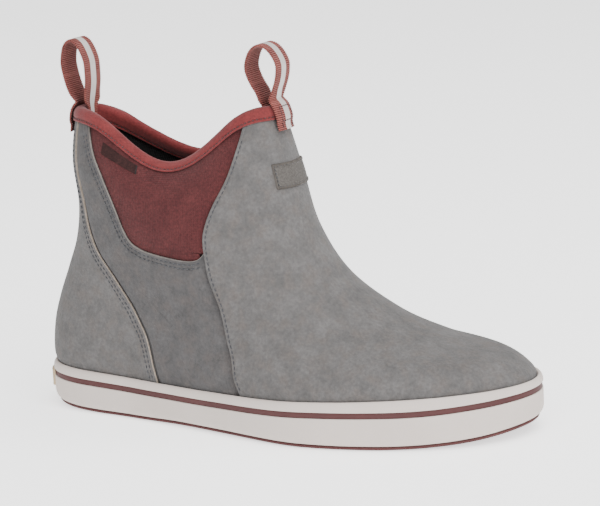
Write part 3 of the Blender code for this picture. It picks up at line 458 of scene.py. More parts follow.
RED_THREAD = finish_material("binding_thread", (0.028, 0.0065, 0.0072), (0.048, 0.0110, 0.0120), 400.0,
        2500.0, 0.25, 0.75, [("X", 1400.0, 0.05)], sheen=0.2, specular=0.3)
PATCH = finish_material("patch_rubber", (0.048, 0.043, 0.039), (0.084, 0.076, 0.069), 1100.0, 1700.0, 0.20,
        0.7, [("cells", 620.0, 0.28), ("grain", 1500.0, 0.06)], span=(0.35, 0.65), specular=0.3)
PATCH_RIM = finish_material("patch_rim", (0.042, 0.036, 0.031), (0.072, 0.062, 0.054), 300.0, 900.0, 0.15,
        0.62, [("grain", 900.0, 0.10)], span=(0.35, 0.65), specular=0.3)
LABEL = finish_material("label_woven", (0.0190, 0.0085, 0.0082), (0.0340, 0.0140, 0.0132), 300.0, 1200.0,
        0.35, 0.9, [("Z", 620.0, 0.14), ("grain", 1500.0, 0.06)], specular=0.15)
LABEL_END = finish_material("label_end", (0.010, 0.008, 0.008), (0.018, 0.014, 0.014), 120.0, 1700.0, 0.3,
        0.85, [("Z", 620.0, 0.08)])
BADGE = finish_material("badge_rubber", (0.47, 0.445, 0.42), (0.52, 0.495, 0.47), 60.0, 900.0, 0.03, 0.6,
        [("grain", 700.0, 0.05)], specular=0.4)
BADGE_RIM = finish_material("badge_rim", (0.36, 0.27, 0.17), (0.43, 0.33, 0.21), 80.0, 900.0, 0.08, 0.6,
        [("grain", 700.0, 0.05)], specular=0.4)
FOAM = finish_material("footbed_foam", (0.030, 0.030, 0.032), (0.048, 0.048, 0.050), 50.0, 900.0, 0.25, 0.9,
        [("cells", 700.0, 0.20), ("grain", 1500.0, 0.08)])
COVER = finish_material("footbed_cover_textile", (0.012, 0.012, 0.013), (0.022, 0.022, 0.024), 60.0, 1400.0,
        0.3, 0.9, [("knit", 420.0, 0.14), ("grain", 1400.0, 0.08)], sheen=0.15)
MIDSOLE = finish_material("midsole_foam", (0.52, 0.50, 0.46), (0.60, 0.58, 0.54), 40.0, 700.0, 0.06, 0.85,
        [("cells", 420.0, 0.20)])
STEEL = finish_material("shank_steel", (0.38, 0.38, 0.39), (0.50, 0.50, 0.51), 60.0, 900.0, 0.08, 0.36,
        [("X", 900.0, 0.02)], metallic=1.0, specular=0.5)
BOARD = finish_material("insole_fibreboard", (0.30, 0.22, 0.14), (0.42, 0.33, 0.22), 90.0, 800.0, 0.2, 0.92,
        [("grain", 500.0, 0.15)], specular=0.2)
STIFF = finish_material("stiffener_sheet", (0.48, 0.44, 0.37), (0.60, 0.56, 0.48), 70.0, 800.0, 0.12, 0.85,
        [("grain", 600.0, 0.10)])
FLOOR = finish_material("floor_paper", (0.86, 0.86, 0.86), (0.88, 0.88, 0.88), 2.0, 60.0, 0.005, 0.8,
        [("grain", 90.0, 0.05)], specular=0.2)
FLOOR.node_tree.nodes["Principled BSDF"].inputs["Emission Color"].default_value = (1.0, 1.0, 1.0, 1.0)
FLOOR.node_tree.nodes["Principled BSDF"].inputs["Emission Strength"].default_value = 1.3


# ---- mesh helpers --------------------------------------------------------------------------------
def grid(rows, cols, wrap=False, start=0, flip=False):
    """Faces of a grid of points; they face out where columns run with turn and rows climb."""
    r = np.arange(rows - 1)[:, None]
    c = np.arange(cols if wrap else cols - 1)[None, :]
    d = (c + 1) % cols
    quads = np.stack([r * cols + c, r * cols + d, (r + 1) * cols + d, (r + 1) * cols + c], -1)
    quads = quads.reshape(-1, 4) + start
    return quads[:, ::-1] if flip else quads


def tube(rows, cols):
    """Faces of a grid of points that closes both ways."""
    r = np.arange(rows)[:, None]
    c = np.arange(cols)[None, :]
    s = (r + 1) % rows
    d = (c + 1) % cols
    return np.stack([r * cols + c, r * cols + d, s * cols + d, s * cols + c], -1).reshape(-1, 4)


def piece(name, points, faces, materials, index=None, body="boot", stands_for=(), smooth=True):
    mesh = bpy.data.meshes.new(name)
    local = (np.asarray(points, float).reshape(-1, 3) - MIDDLE) * MM
    faces = [tuple(int(i) for i in f) for f in faces]
    mesh.from_pydata(local.tolist(), [], faces)
    for material in materials:
        mesh.materials.append(material)
    if index is not None:
        mesh.polygons.foreach_set("material_index", np.asarray(index, np.int32))
    mesh.polygons.foreach_set("use_smooth", np.full(len(faces), smooth))
    mesh.update()
    obj = bpy.data.objects.new(name, mesh)
    bpy.context.scene.collection.objects.link(obj)
    if body:
        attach(obj, body)
    if stands_for:
        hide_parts(*stands_for)
    return obj


def wobble(turn, level, size=1.0):
    """Slow unevenness of hand-lasted leather, in millimetres."""
    turn = np.asarray(turn, float)
    a = np.sin(3.1 * turn + 7.0 * level) * np.sin(9.0 * level - 1.3)
    b = np.sin(5.3 * turn - 11.0 * level + 0.7) * np.cos(4.1 * turn + 1.1)
    return size * (0.10 * a + 0.08 * b)


def edge_shape(d, rows=()):
    """Depth of the leather face at distance d from its cut edge, with a pinch along each stitch row."""
    r = 0.5
    inside = np.clip(r - d, 0, r)
    out = r - np.sqrt(r * r - inside * inside)
    out = out - 0.12 * np.exp(-((d - 1.2) / 0.7) ** 2)
    for row in rows:
        out = out + 0.24 * np.exp(-((d - row) / 0.55) ** 2)
    return out


def stitches(name, line, normals, material, body="boot", length=2.3, pitch=3.0, radius=0.33, lift=0.05,
             stands_for=(), closed=False):
    """Separate thread stitches along a line of points."""
    line = np.asarray(line, float)
    step = np.linalg.norm(np.diff(line, axis=0), axis=1)
    at = np.concatenate([[0], np.cumsum(step)])
    count = max(int(at[-1] // pitch), 1)
    middle = (np.arange(count) + 0.5) * at[-1] / count

    def read(values, s):
        return np.stack([np.interp(s, at, values[:, k]) for k in range(3)], -1)

    profile = [(-0.5, 0.35, -0.22), (-0.36, 0.85, 0.0), (-0.12, 1.0, 0.12), (0.12, 1.0, 0.12), (0.36, 0.85,
            0.0),
               (0.5, 0.35, -0.22)]
    rings = []
    sides = 6
    for share, thick, height in profile:
        s = np.clip(middle + share * length, 0, at[-1])
        p = read(line, s)
        n = read(np.asarray(normals, float), s)
        n = n / np.linalg.norm(n, axis=1, keepdims=True)
        t = read(line, np.clip(s + 0.4, 0, at[-1])) - read(line, np.clip(s - 0.4, 0, at[-1]))
        t = t / np.linalg.norm(t, axis=1, keepdims=True)
        b = np.cross(t, n)
        for k in range(sides):
            angle = 2 * math.pi * k / sides
            rings.append(p
                    + n * (lift
                    + height + radius * thick * math.sin(angle)) + b * radius * thick * math.cos(angle))
    points = np.stack(rings, 1)
    faces = []
    size = len(profile) * sides
    for i in range(count):
        base = i * size
        for r in range(len(profile) - 1):
            for k in range(sides):
                m = (k + 1) % sides
                faces.append((base + r * sides + k, base + (r + 1) * sides + k,
                              base + (r + 1) * sides + m, base + r * sides + m))
        faces.append(tuple(base + k for k in range(sides)))
        faces.append(tuple(base + size - 1 - k for k in range(sides)))
    return piece(name, points, faces, [material], None, body, stands_for)


def signed(turn, side):
    return turn if side > 0 else -turn


# ---- leather -------------------------------------------------------------------------------------
EDGE_STEPS = np.array([0.0, 0.1, 0.25, 0.5, 0.8, 1.2, 1.6, 2.0, 2.3, 2.6, 2.9, 3.3, 3.8, 4.2, 4.6, 5.0, 5.6,
        6.6, 8.0])
ROW_LEVELS = np.concatenate([np.linspace(-0.10, 0.40, 72), np.linspace(0.40, HIGH, 92)[1:]])


def sided_panel(name, left, right, rows, count, materials, stands_for):
    """Leather between two seams; left and right are turns at each of ROW_LEVELS."""
    v = ROW_LEVELS
    wide_left = stretch(left, v)
    wide_right = stretch(right, v)
    columns = [left + d / wide_left for d in EDGE_STEPS]
    a = left + EDGE_STEPS[-1] / wide_left
    b = right - EDGE_STEPS[-1] / wide_right
    columns += [a + (b - a) * k / count for k in range(1, count)]
    columns += [right - d / wide_right for d in EDGE_STEPS[::-1]]
    turn = np.stack(columns, 1)
    level = np.repeat(v[:, None], turn.shape[1], 1)
    base = leather(turn, level)
    n = facing(turn, level)
    fine = np.linspace(0, len(v) - 1, 500)
    spots = np.arange(len(v))
    d = np.full(turn.shape, 99.0)
    for seam in (left, right):
        line = leather(np.interp(fine, spots, seam), np.interp(fine, spots, v))
        d = np.minimum(d, near_line(base, line))
    d[:, 0] = 0.0
    d[:, -1] = 0.0
    fade = np.clip(d / 4.0, 0, 1)
    depth = edge_shape(d, rows) + wobble(turn, level) * fade
    top = base - n * depth[..., None]
    rim_a = (base - n * (LEATHER - 0.02))[:, :1]
    rim_b = (base - n * (LEATHER - 0.02))[:, -1:]
    points = np.concatenate([rim_a, top, rim_b], 1)
    cols = points.shape[1]
    faces = grid(points.shape[0], cols)
    column = np.tile(np.arange(cols - 1), points.shape[0] - 1)
    index = np.where((column < 2) | (column > cols - 4), 1, 0)
    return piece(name, points, faces, materials, index, "boot", stands_for)


def make_vamp():
    edge = seam_turn(VAMP_EDGE, ROW_LEVELS)
    sided_panel("vamp_leather", -edge, edge, (1.8,), 110, [NUBUCK, CUT_EDGE], ("vamp",))


def make_counter():
    edge = seam_turn(COUNTER_EDGE, ROW_LEVELS)
    sided_panel("counter_leather", edge, 2 * math.pi - edge, (2.3, 4.6), 84, [NUBUCK, TAN_EDGE],
            ("heel_counter",))


def quarter_sides():
    """The four sides of a quarter as (turn, level) lines: bottom, front, rear and the gore edge on top."""
    low = np.linspace(-0.10, 0.675, 60)
    front_t = moved(seam_turn(VAMP_EDGE, low), low, -LAP_WIDTH)
    front = (np.append(front_t, 1.215), np.append(low, 0.700))
    high = np.linspace(-0.10, HIGH, 90)
    rear = (moved(seam_turn(COUNTER_EDGE, high), high, LAP_WIDTH), high)
    bottom = (np.array([front[0][0], rear[0][0]]), np.array([-0.10, -0.10]))
    t, v = gore_line(200)
    t, v = t[::-1], v[::-1]
    keep = v < HIGH
    top = (np.concatenate([[1.215], t[keep], [2.455], [rear[0][-1]]]),
           np.concatenate([[0.700], v[keep], [HIGH], [HIGH]]))
    return bottom, front, rear, top


def quarter_grid(side):
    bottom, front, rear, top = quarter_sides()
    across = np.concatenate([np.linspace(0, 0.16, 22), np.linspace(0.16, 0.86, 120)[1:], np.linspace(0.86,
            1, 22)[1:]])
    below = 1 - EDGE_STEPS[::-1] / 115.0
    upward = np.concatenate([np.linspace(0, below[0], 76)[:-1], below])
    lines = [spread(bottom, across), spread(top, across), spread(front, upward), spread(rear, upward)]
    (bt, bv), (tt, tv), (ft, fv), (rt, rv) = lines
    u = across[None, :]
    w = upward[:, None]

    def fill(b, t, f, r):
        flat = (1 - w) * b[None] + w * t[None] + (1 - u) * f[:, None] + u * r[:, None]
        corner = (1 - u) * (1 - w) * b[0] + u * (1 - w) * b[-1] + (1 - u) * w * t[0] + u * w * t[-1]
        return flat - corner

    turn = fill(bt, tt, ft, rt)
    level = fill(bv, tv, fv, rv)
    if side < 0:
        turn = -turn[:, ::-1]
        level = level[:, ::-1]
    return turn, level


def gore_edge_points(side, count=400):
    t, v = gore_line(count)
    return leather(signed(t, side), v)


def make_quarter(word, side):
    turn, level = quarter_grid(side)
    base = leather(turn, level)
    n = facing(turn, level)
    d = near_line(base, gore_edge_points(side))
    d[-1] = np.minimum(d[-1], 0.0)
    fade = np.clip(d / 4.0, 0, 1)
    sunk = dip(turn, level)
    depth = LAP * sunk + edge_shape(d, (2.1, 4.4)) * (1 - sunk) + (wobble(turn, level) + 0.05) * fade
    top = base - n * depth[..., None]
    rim = base[-1:] - n[-1:] * (LEATHER - 0.02 + LAP * sunk[-1:])[..., None]
    points = np.concatenate([top, rim], 0)
    rows, cols = points.shape[:2]
    faces = grid(rows, cols)
    row = np.repeat(np.arange(rows - 1), cols - 1)
    index = np.where(row > rows - 5, 1, 0)
    piece("quarter_leather_" + word, points, faces, [NUBUCK_DARK, CUT_EDGE], index, "boot",
          ("quarter_" + word,))


def make_gore(word, side):
    """Stretch panel: it lies under the leather edges and swells a little in the opening."""
    t_line, v_line = gore_line(200)
    v = np.linspace(0.632, HIGH, 96)
    front = np.where(v < 0.690, 1.345, moved(seam_turn(VAMP_EDGE, v), v, -5.0))
    rear_part = t_line > 1.86
    rear_turn = np.interp(v, v_line[rear_part][::-1], t_line[rear_part][::-1])
    rear = moved(rear_turn, v, 5.0)
    share = np.linspace(0, 1, 110)[None, :]
    turn = front[:, None] * (1 - share) + rear[:, None] * share
    level = np.repeat(v[:, None], turn.shape[1], 1)
    side_turn = turn.copy()
    floor = np.interp(side_turn, t_line[::-1], v_line[::-1], left=0.690, right=1.0)
    inside = (side_turn > seam_turn(VAMP_EDGE, level)) & (level > floor)
    if side < 0:
        turn = -turn[:, ::-1]
        level = level[:, ::-1]
        inside = inside[:, ::-1]
    base = leather(turn, level)
    n = facing(turn, level)
    vamp_v = np.linspace(0.62, 1.0, 200)
    line = leather(signed(seam_turn(VAMP_EDGE, vamp_v), side), vamp_v)
    to_edge = near_line(base, gore_edge_points(side))
    d = np.minimum(to_edge, near_line(base, line))
    swell = 0.30 * (1 - np.exp(-d / 7.0)) * np.clip((0.975 - level) / 0.04, 0, 1)
    sunk = dip(turn, level)
    depth = np.where(inside, STEP - swell + 0.9 * sunk * np.clip(1 - to_edge / 2.5, 0, 1),
                     STEP + np.maximum(1.85 * sunk, 1.35 * np.clip(d / 1.2, 0, 1)))
    points = base - n * depth[..., None]
    piece("gore_textile_" + word, points, grid(*points.shape[:2]), [GORE], None, "boot", ("gore_" + word,))


def leather_stitches():
    """Rows of thread: one on the vamp, two on the counter and two round the gore, on both sides."""
    for side, word in ((-1, "outer"), (1, "inner")):
        v = np.linspace(0.035, 0.955, 260)
        runs = []
        t = signed(seam_turn(VAMP_EDGE, v), side)
        runs.append(("vamp_thread_" + word, beside(t, v, 1.8 * side), ("vamp_stitching_" + word,)))
        t = signed(seam_turn(COUNTER_EDGE, v), side)
        runs.append(("counter_thread_near_" + word, beside(t, v, -2.3 * side),
                ("counter_stitching_" + word,)))
        runs.append(("counter_thread_far_" + word, beside(t, v, -4.6 * side), ()))
        t, w = gore_line(300)
        keep = (w < 0.958) & ~((w > 0.672) & (t < 1.6))
        t, w = signed(t[keep], side), w[keep]
        runs.append(("gore_thread_near_" + word, beside(t, w, 2.1 * side), ("gore_stitching_" + word,)))
        far = beside(t, w, 4.4 * side)
        inside = np.abs(far[0]) - seam_turn(VAMP_EDGE, far[1])
        hidden = (seam_turn(COUNTER_EDGE, far[1]) - np.abs(far[0])) * stretch(far[0], far[1])
        keep = (inside * 45.0 > 2.0) & (hidden > 3.0)
        runs.append(("gore_thread_far_" + word, (far[0][keep], far[1][keep]), ()))
        for name, (turn, level), nodes in runs:
            sunk = dip(turn, level) * LAP if name.startswith("gore") else 0.0
            points = under(turn, level, np.full_like(turn, 0.16) + sunk)
            stitches(name, points, facing(turn, level), THREAD, stands_for=nodes)


# ---- collar --------------------------------------------------------------------------------------
BINDING_SHAPE = [
    (-0.34, -5.6), (-0.34, -6.1), (-0.42, -6.45), (-0.72, -6.62), (-1.05, -6.55), (-1.28, -6.25), (-1.33,
    -5.85),
    (-1.12, -5.45), (-0.82, -5.12), (-0.84, -4.85), (-1.20, -4.45), (-1.48, -3.9), (-1.60, -3.1), (-1.62,
    -2.2),
    (-1.56, -1.3), (-1.38, -0.4), (-1.05, 0.35), (-0.50, 1.0), (0.30, 1.52), (1.25, 1.88), (2.30, 2.06),
    (3.30, 2.02),
    (4.15, 1.72), (4.90, 1.15), (5.45, 0.40), (5.82, -0.5), (6.05, -1.5), (6.25, -2.6), (6.45, -3.6), (6.62,
    -4.6),
    (6.62, -5.5), (6.25, -6.0), (6.30, -6.4), (6.80, -6.75), (7.05, -7.2), (7.00, -7.75), (6.60, -8.1),
    (5.90, -8.05),
    (5.20, -7.7), (4.98, -4.0), (4.95, -1.5), (4.5, -0.5), (2.8, 0.1), (0.6, -0.2), (-0.32, -1.2),
]


def binding_place(turn, depth, up):
    """Point on the binding; its outer arm follows the gore down between the leather edges."""
    p, n, rise = collar_frame(turn)
    share = np.clip(1 - (depth + 1.35) / 5.4, 0, 1)
    sink = STEP * hug(turn) * share
    bump = 0.05 * np.sin(turn * 41.0) * np.sin(turn * 7.0)
    return p - n * (depth + sink + bump)[:, None] + rise * up


def make_binding():
    count = 480
    turn = np.arange(count) * 2 * math.pi / count - math.pi
    loops = []
    for depth, up in BINDING_SHAPE:
        loops.append(binding_place(turn, np.full(count, depth), up))
    points = np.stack(loops)
    piece("collar_binding_knit", points, tube(len(loops), count), [KNIT], None, "boot", ("collar_binding",))
    fine = np.linspace(-math.pi, math.pi, 900)
    for name, depth, up, sign in (("binding_thread_outside", -1.0, -5.0, 1), ("binding_thread_inside", 6.44,
            -6.2, -1)):
        line = binding_place(fine, np.full(len(fine), depth), up)
        _, n, _ = collar_frame(fine)
        stitches(name, line, n * sign, RED_THREAD, length=1.6, pitch=2.3, radius=0.32, lift=0.0)


def make_lining():
    turns = np.arange(220) * 2 * math.pi / 220 - math.pi
    levels = np.concatenate([[-0.08, -0.04], np.linspace(0.0, HIGH + 0.005, 76)])
    rows = []
    for side in (0, 1):
        for v in levels[::-1] if side else levels:
            thin = 0.6 * np.clip((v - 0.90) / 0.06, 0, 1)
            depth = LINING_TOP + 0.05 if side == 0 else LINING_TOP + LINING_THICK - thin
            ripple = 0.0 if side == 0 else 0.06
            t = np.full_like(turns, v)
            rows.append(under(turns, t, depth + ripple * np.sin(turns * 5 + v * 23)))
    points = np.stack(rows)
    piece("bootie_textile_lining", points, tube(len(rows), len(turns)), [LINING], None, "boot",
            ("bootie_lining",))


# ---- rubber --------------------------------------------------------------------------------------
def rubber_ring(name, rows, material, nodes, count=540):
    turn = np.arange(count) * 2 * math.pi / count - math.pi
    loops = []
    for inset, rule in rows:
        x, y = outline(turn, inset)
        uneven = 0.04 * np.sin(turn * 23.0) * np.sin(turn * 5.0 + 1.0)
        loops.append(np.stack([x, y, rule(x) + uneven * (inset < 3.0)], -1))
    points = np.stack(loops)
    return piece(name, points, tube(len(loops), count), [material], None, "boot", nodes)


def make_walls():
    def g(extra):
        return lambda x: ground(x) + extra

    def s(extra):
        return lambda x: stripe_middle(x) + extra

    def w(extra):
        return lambda x: wall_top(x) + extra

    lower = [(3.2, g(2.4)), (2.6, g(2.42)), (2.0, g(2.62)), (1.45, g(3.02)), (1.0, g(3.6)), (0.6, g(4.35)),
            (0.3, g(5.2)),
             (0.1, g(6.1)), (0.0, g(7.0)), (0.0, s(-3.2)), (0.0, s(-2.5)), (0.03, s(-2.05)), (0.13,
             s(-1.83)),
             (0.32, s(-1.72)), (0.7, s(-1.7)), (3.2, s(-1.7)), (3.2, g(10.4)), (5.2, g(10.4)), (5.2,
             g(2.4))]
    rubber_ring("wall_lower_band", lower, WALL, ("sidewall_lower",))
    line = [(0.72, s(-1.66)), (0.62, s(-1.3)), (0.60, s(0.0)), (0.62, s(1.3)), (0.72, s(1.66)), (3.2,
            s(1.66)), (3.2, s(-1.66))]
    rubber_ring("wall_stripe_line", line, WALL_LINE, ("sidewall_stripe",))
    upper = [(0.62, s(1.7)), (0.34, s(1.74)), (0.14, s(1.88)), (0.04, s(2.1)), (0.0, s(2.4)), (0.04,
            w(-3.1)),
             (0.14, w(-2.5)), (0.34, w(-1.8)), (0.66, w(-1.15)), (1.08, w(-0.62)), (1.6, w(-0.26)), (2.1,
             w(-0.14)),
             (2.6, w(-0.3)), (3.0, w(-0.72)), (3.3, w(-1.4)), (3.2, s(1.7))]
    rubber_ring("wall_upper_band", upper, WALL, ("sidewall_upper",))


def make_outsole():
    """Thin rubber sole with fine wavy cuts across it."""
    count = 540
    turn = np.arange(count) * 2 * math.pi / count - math.pi
    rim = [(4.6, 0.0), (3.9, 0.06), (3.3, 0.3), (2.85, 0.65), (2.6, 1.05), (2.6, 2.05), (5.5, 2.1), (5.5,
            3.4)]
    loops = []
    for inset, up in rim:
        x, y = outline(turn, inset)
        loops.append(np.stack([x, y, ground(x) + up], -1))
    points = list(np.concatenate(loops))
    faces = grid(len(rim), count, True).tolist()
    along = np.linspace(-1, 1, 761)
    angle = np.arccos(np.clip(along, -1, 1))
    angle = np.clip(angle, 0.002, math.pi - 0.002)
    share = np.linspace(0, 1, 61)
    left = np.stack(outline(-angle, 4.6), -1)
    right = np.stack(outline(angle, 4.6), -1)
    flat = left[:, None] * (1 - share[None, :, None]) + right[:, None] * share[None, :, None]
    room = np.minimum(np.linalg.norm(flat - left[:, None], axis=2), np.linalg.norm(flat - right[:, None],
            axis=2))
    y = flat[..., 1]
    x = flat[..., 0]
    keep = np.clip((room - 3.0) / 5.0, 0, 1) * np.clip((143.0 - np.abs(x)) / 8.0, 0, 1)
    shift = 1.7 * np.sin(y * 2 * math.pi / 11.0) * keep
    pitch = 7.6
    phase = np.abs((x / pitch) % 1.0 - 0.5) * pitch
    cut = np.clip((0.85 - phase) / 0.35, 0, 1) * keep
    z = ground(x) + 1.2 * cut
    bottom = np.stack([x + shift, y, z], -1)
    start = len(points)
    points = np.concatenate([np.asarray(points), bottom.reshape(-1, 3)])
    faces += grid(len(along), len(share), False, start).tolist()
    piece("outsole_tread", points, faces, [TREAD], None, "boot", ("outsole",))


def make_badge():
    """Plain raised tile on the heel wall with a tan border."""
    across = np.linspace(-1, 1, 81)
    tall = np.linspace(-1, 1, 41)
    half_wide, half_tall = 20.5, 5.3
    a, b = np.meshgrid(across, tall)
    px = np.abs(a) * (half_wide + 0.4) - half_wide + 1.6
    pz = np.abs(b) * (half_tall + 0.4) - half_tall + 1.6
    gap = 1.6 - (np.hypot(np.maximum(px, 0), np.maximum(pz, 0)) + np.minimum(np.maximum(px, pz), 0))
    height = 1.25 * np.sqrt(np.clip(gap / 0.5, 0, 1)) - 0.28 * np.clip((gap - 1.2) / 0.3, 0, 1)
    height = np.where(gap <= 0, -0.3, height)
    turn = math.pi + a * 0.29 * (half_wide + 0.4) / half_wide
    x, y = outline(turn, 0.0)
    xo, yo = outline(turn, -1.0)
    points = np.stack([x + (xo - x) * height, y + (yo - y) * height, 16.3 + b * (half_tall + 0.4)], -1)
    faces = grid(*points.shape[:2])
    centre = 0.25 * (gap[:-1, :-1] + gap[1:, :-1] + gap[1:, 1:] + gap[:-1, 1:])
    index = np.where(centre.reshape(-1) < 1.25, 1, 0)
    piece("heel_tile", points, faces, [BADGE, BADGE_RIM], index, "boot", ("heel_badge",))


# ---- small pieces on the upper -------------------------------------------------------------------
def laid_tile(name, middle, half, levels, height, inner, materials, nodes, base_depth, corner=1.5,
        size=(120, 48)):
    """Rounded rectangle lying on the upper; height(gap, a, b) is its rise at a distance from its edge."""
    a, b = np.meshgrid(np.linspace(-1, 1, size[0]), np.linspace(-1, 1, size[1]))
    low, high = levels
    level = 0.5 * (low + high) + b * 0.5 * (high - low) * 1.06
    turn = middle + a * half * 1.03
    wide = half * float(stretch(middle, 0.5 * (low + high)))
    p = leather(np.array([middle, middle]), np.array([low, high]))
    tall = 0.5 * float(np.linalg.norm(p[1] - p[0]))
    px = np.abs(a) * 1.03 * wide - wide + corner
    pz = np.abs(b) * 1.06 * tall - tall + corner
    gap = corner - (np.hypot(np.maximum(px, 0), np.maximum(pz, 0)) + np.minimum(np.maximum(px, pz), 0))
    rise = np.where(gap <= 0, -0.45, height(gap, a * wide, b * tall))
    points = leather(turn, level) - facing(turn, level) * (base_depth - rise)[..., None]
    centre = 0.25 * (gap[:-1, :-1] + gap[1:, :-1] + gap[1:, 1:] + gap[:-1, 1:])
    across = 0.25 * (a[:-1, :-1] + a[1:, :-1] + a[1:, 1:] + a[:-1, 1:])
    return piece(name, points, grid(*points.shape[:2]), materials, inner(centre, across).reshape(-1),
            "boot", nodes)


def make_patch():
    def height(gap, x, z):
        ridge = 1.12 * np.sqrt(np.clip(gap / 0.55, 0, 1))
        sunk = 0.42 * np.clip((gap - 1.75) / 0.3, 0, 1)
        groove = 0.25 * np.exp(-((gap - 1.05) / 0.3) ** 2)
        return ridge - sunk - groove

    def inner(gap, across):
        return np.where(gap < 1.8, 1, 0)

    laid_tile("front_rubber_patch", 0.0, 0.43, (0.835, 0.887), height, inner, [PATCH, PATCH_RIM],
            ("front_patch",),
              0.0, 1.6, (150, 60))
    wide, low, high = 0.43 - 0.032, 0.8405, 0.8815
    t = np.concatenate([np.linspace(-wide, wide, 60), np.full(12, wide), np.linspace(wide, -wide, 60),
            np.full(12, -wide)])
    v = np.concatenate([np.full(60, low), np.linspace(low, high, 12), np.full(60, high), np.linspace(high,
            low, 12)])
    line = under(t, v, np.full_like(t, -0.86))
    stitches("front_patch_thread", line, facing(t, v), THREAD, length=1.5, pitch=2.1, radius=0.25, lift=0.0)


def make_label():
    def height(gap, x, z):
        return 0.55 * np.sqrt(np.clip(gap / 0.3, 0, 1))

    def inner(gap, across):
        return np.where(across > 0.93, 1, 0)

    laid_tile("side_woven_label", -1.98, 0.20, (0.9165, 0.9505), height, inner, [LABEL, LABEL_END],
            ("side_label",),
              STEP - 0.12, 0.4, (130, 44))


# ---- pull loops ----------------------------------------------------------------------------------
def loop_line(shape, lean, centre):
    """Centre line of a pull loop in the x-z plane."""
    index = list(range(len(shape)))
    at = np.linspace(0, len(shape) - 1, 29)
    wide = curve(index, [p[0] for p in shape], at)
    high = curve(index, [p[1] for p in shape], at)
    u = np.concatenate([wide, -wide[-2::-1]])
    w = np.concatenate([high, high[-2::-1]])
    c = math.cos(math.radians(lean))
    s = math.sin(math.radians(lean))
    return centre[0] + u * c + w * s, centre[2] + w * c - u * s


def hinge_point(middle):
    p, n, rise = collar_frame(np.array([float(middle)]))
    spot = p[0] - n[0] * HINGE_DEPTH + rise[0] * HINGE_RISE
    return round(float(spot[0]), 1), 0.0, round(float(spot[2]), 1)


def turn_for(y, level, middle):
    """Turn near the middle (0 or pi) whose surface point lies at sideways place y."""
    sign = 1.0 if middle == 0 else -1.0
    low, high = -0.9, 0.9
    for _ in range(40):
        mid = 0.5 * (low + high)
        if sign * (float(leather(middle + mid, level)[1]) - y) < 0:
            low = mid
        else:
            high = mid
    return middle + 0.5 * (low + high)


OUTSIDE_TAB = [(-13.5, -1.9), (-12.0, -1.9), (-10.4, -1.95), (-9.0, -2.3), (-7.9, -2.9), (-6.9, -3.2),
        (-5.0, -3.3),
               (-3.0, -3.3), (-1.0, -3.15), (0.6, -2.8), (2.0, -2.2)]
INSIDE_TAB = [(-13.5, 6.3), (-12.2, 6.5), (-11.0, 7.0), (-9.8, 7.7), (-8.6, 8.0), (-7.0, 8.0), (-5.0, 7.8),
        (-3.0, 7.5),
              (-1.0, 7.2), (0.6, 6.95), (2.0, 6.6)]
STRAP_COLUMNS = np.array([-1.0, -0.985, -0.95, -0.88, -0.78, -0.66, -0.54, -0.43, -0.355, -0.325, -0.31,
        -0.2, -0.1, 0.0,
                          0.1, 0.2, 0.31, 0.325, 0.355, 0.43, 0.54, 0.66, 0.78, 0.88, 0.95, 0.985, 1.0])
STRAP_HALF = 8.7
OUTSIDE_HALF = 8.5
INSIDE_HALF = 8.9
RIB = 1.15


def tab_points(middle, rows, offsets, half_wide):
    """Strap end lying on the collar, one line of points for each sideways offset."""
    edge = collar_frame(np.array([float(middle)]))[0]
    per_level = float(np.linalg.norm(edge - leather(np.array([float(middle)]), 0.95))) / 0.05
    out = []
    for rise_mm, depth in rows:
        level = 1.0 + min(rise_mm, 0.0) / per_level
        turn = np.array([turn_for(c * half_wide, level, middle) for c in offsets])
        v = np.full(len(turn), level)
        p = leather(turn, v)
        if rise_mm > 0:
            p = p + collar_frame(turn)[2] * rise_mm
        out.append(p - facing(turn, v) * depth)
    return np.stack(out)


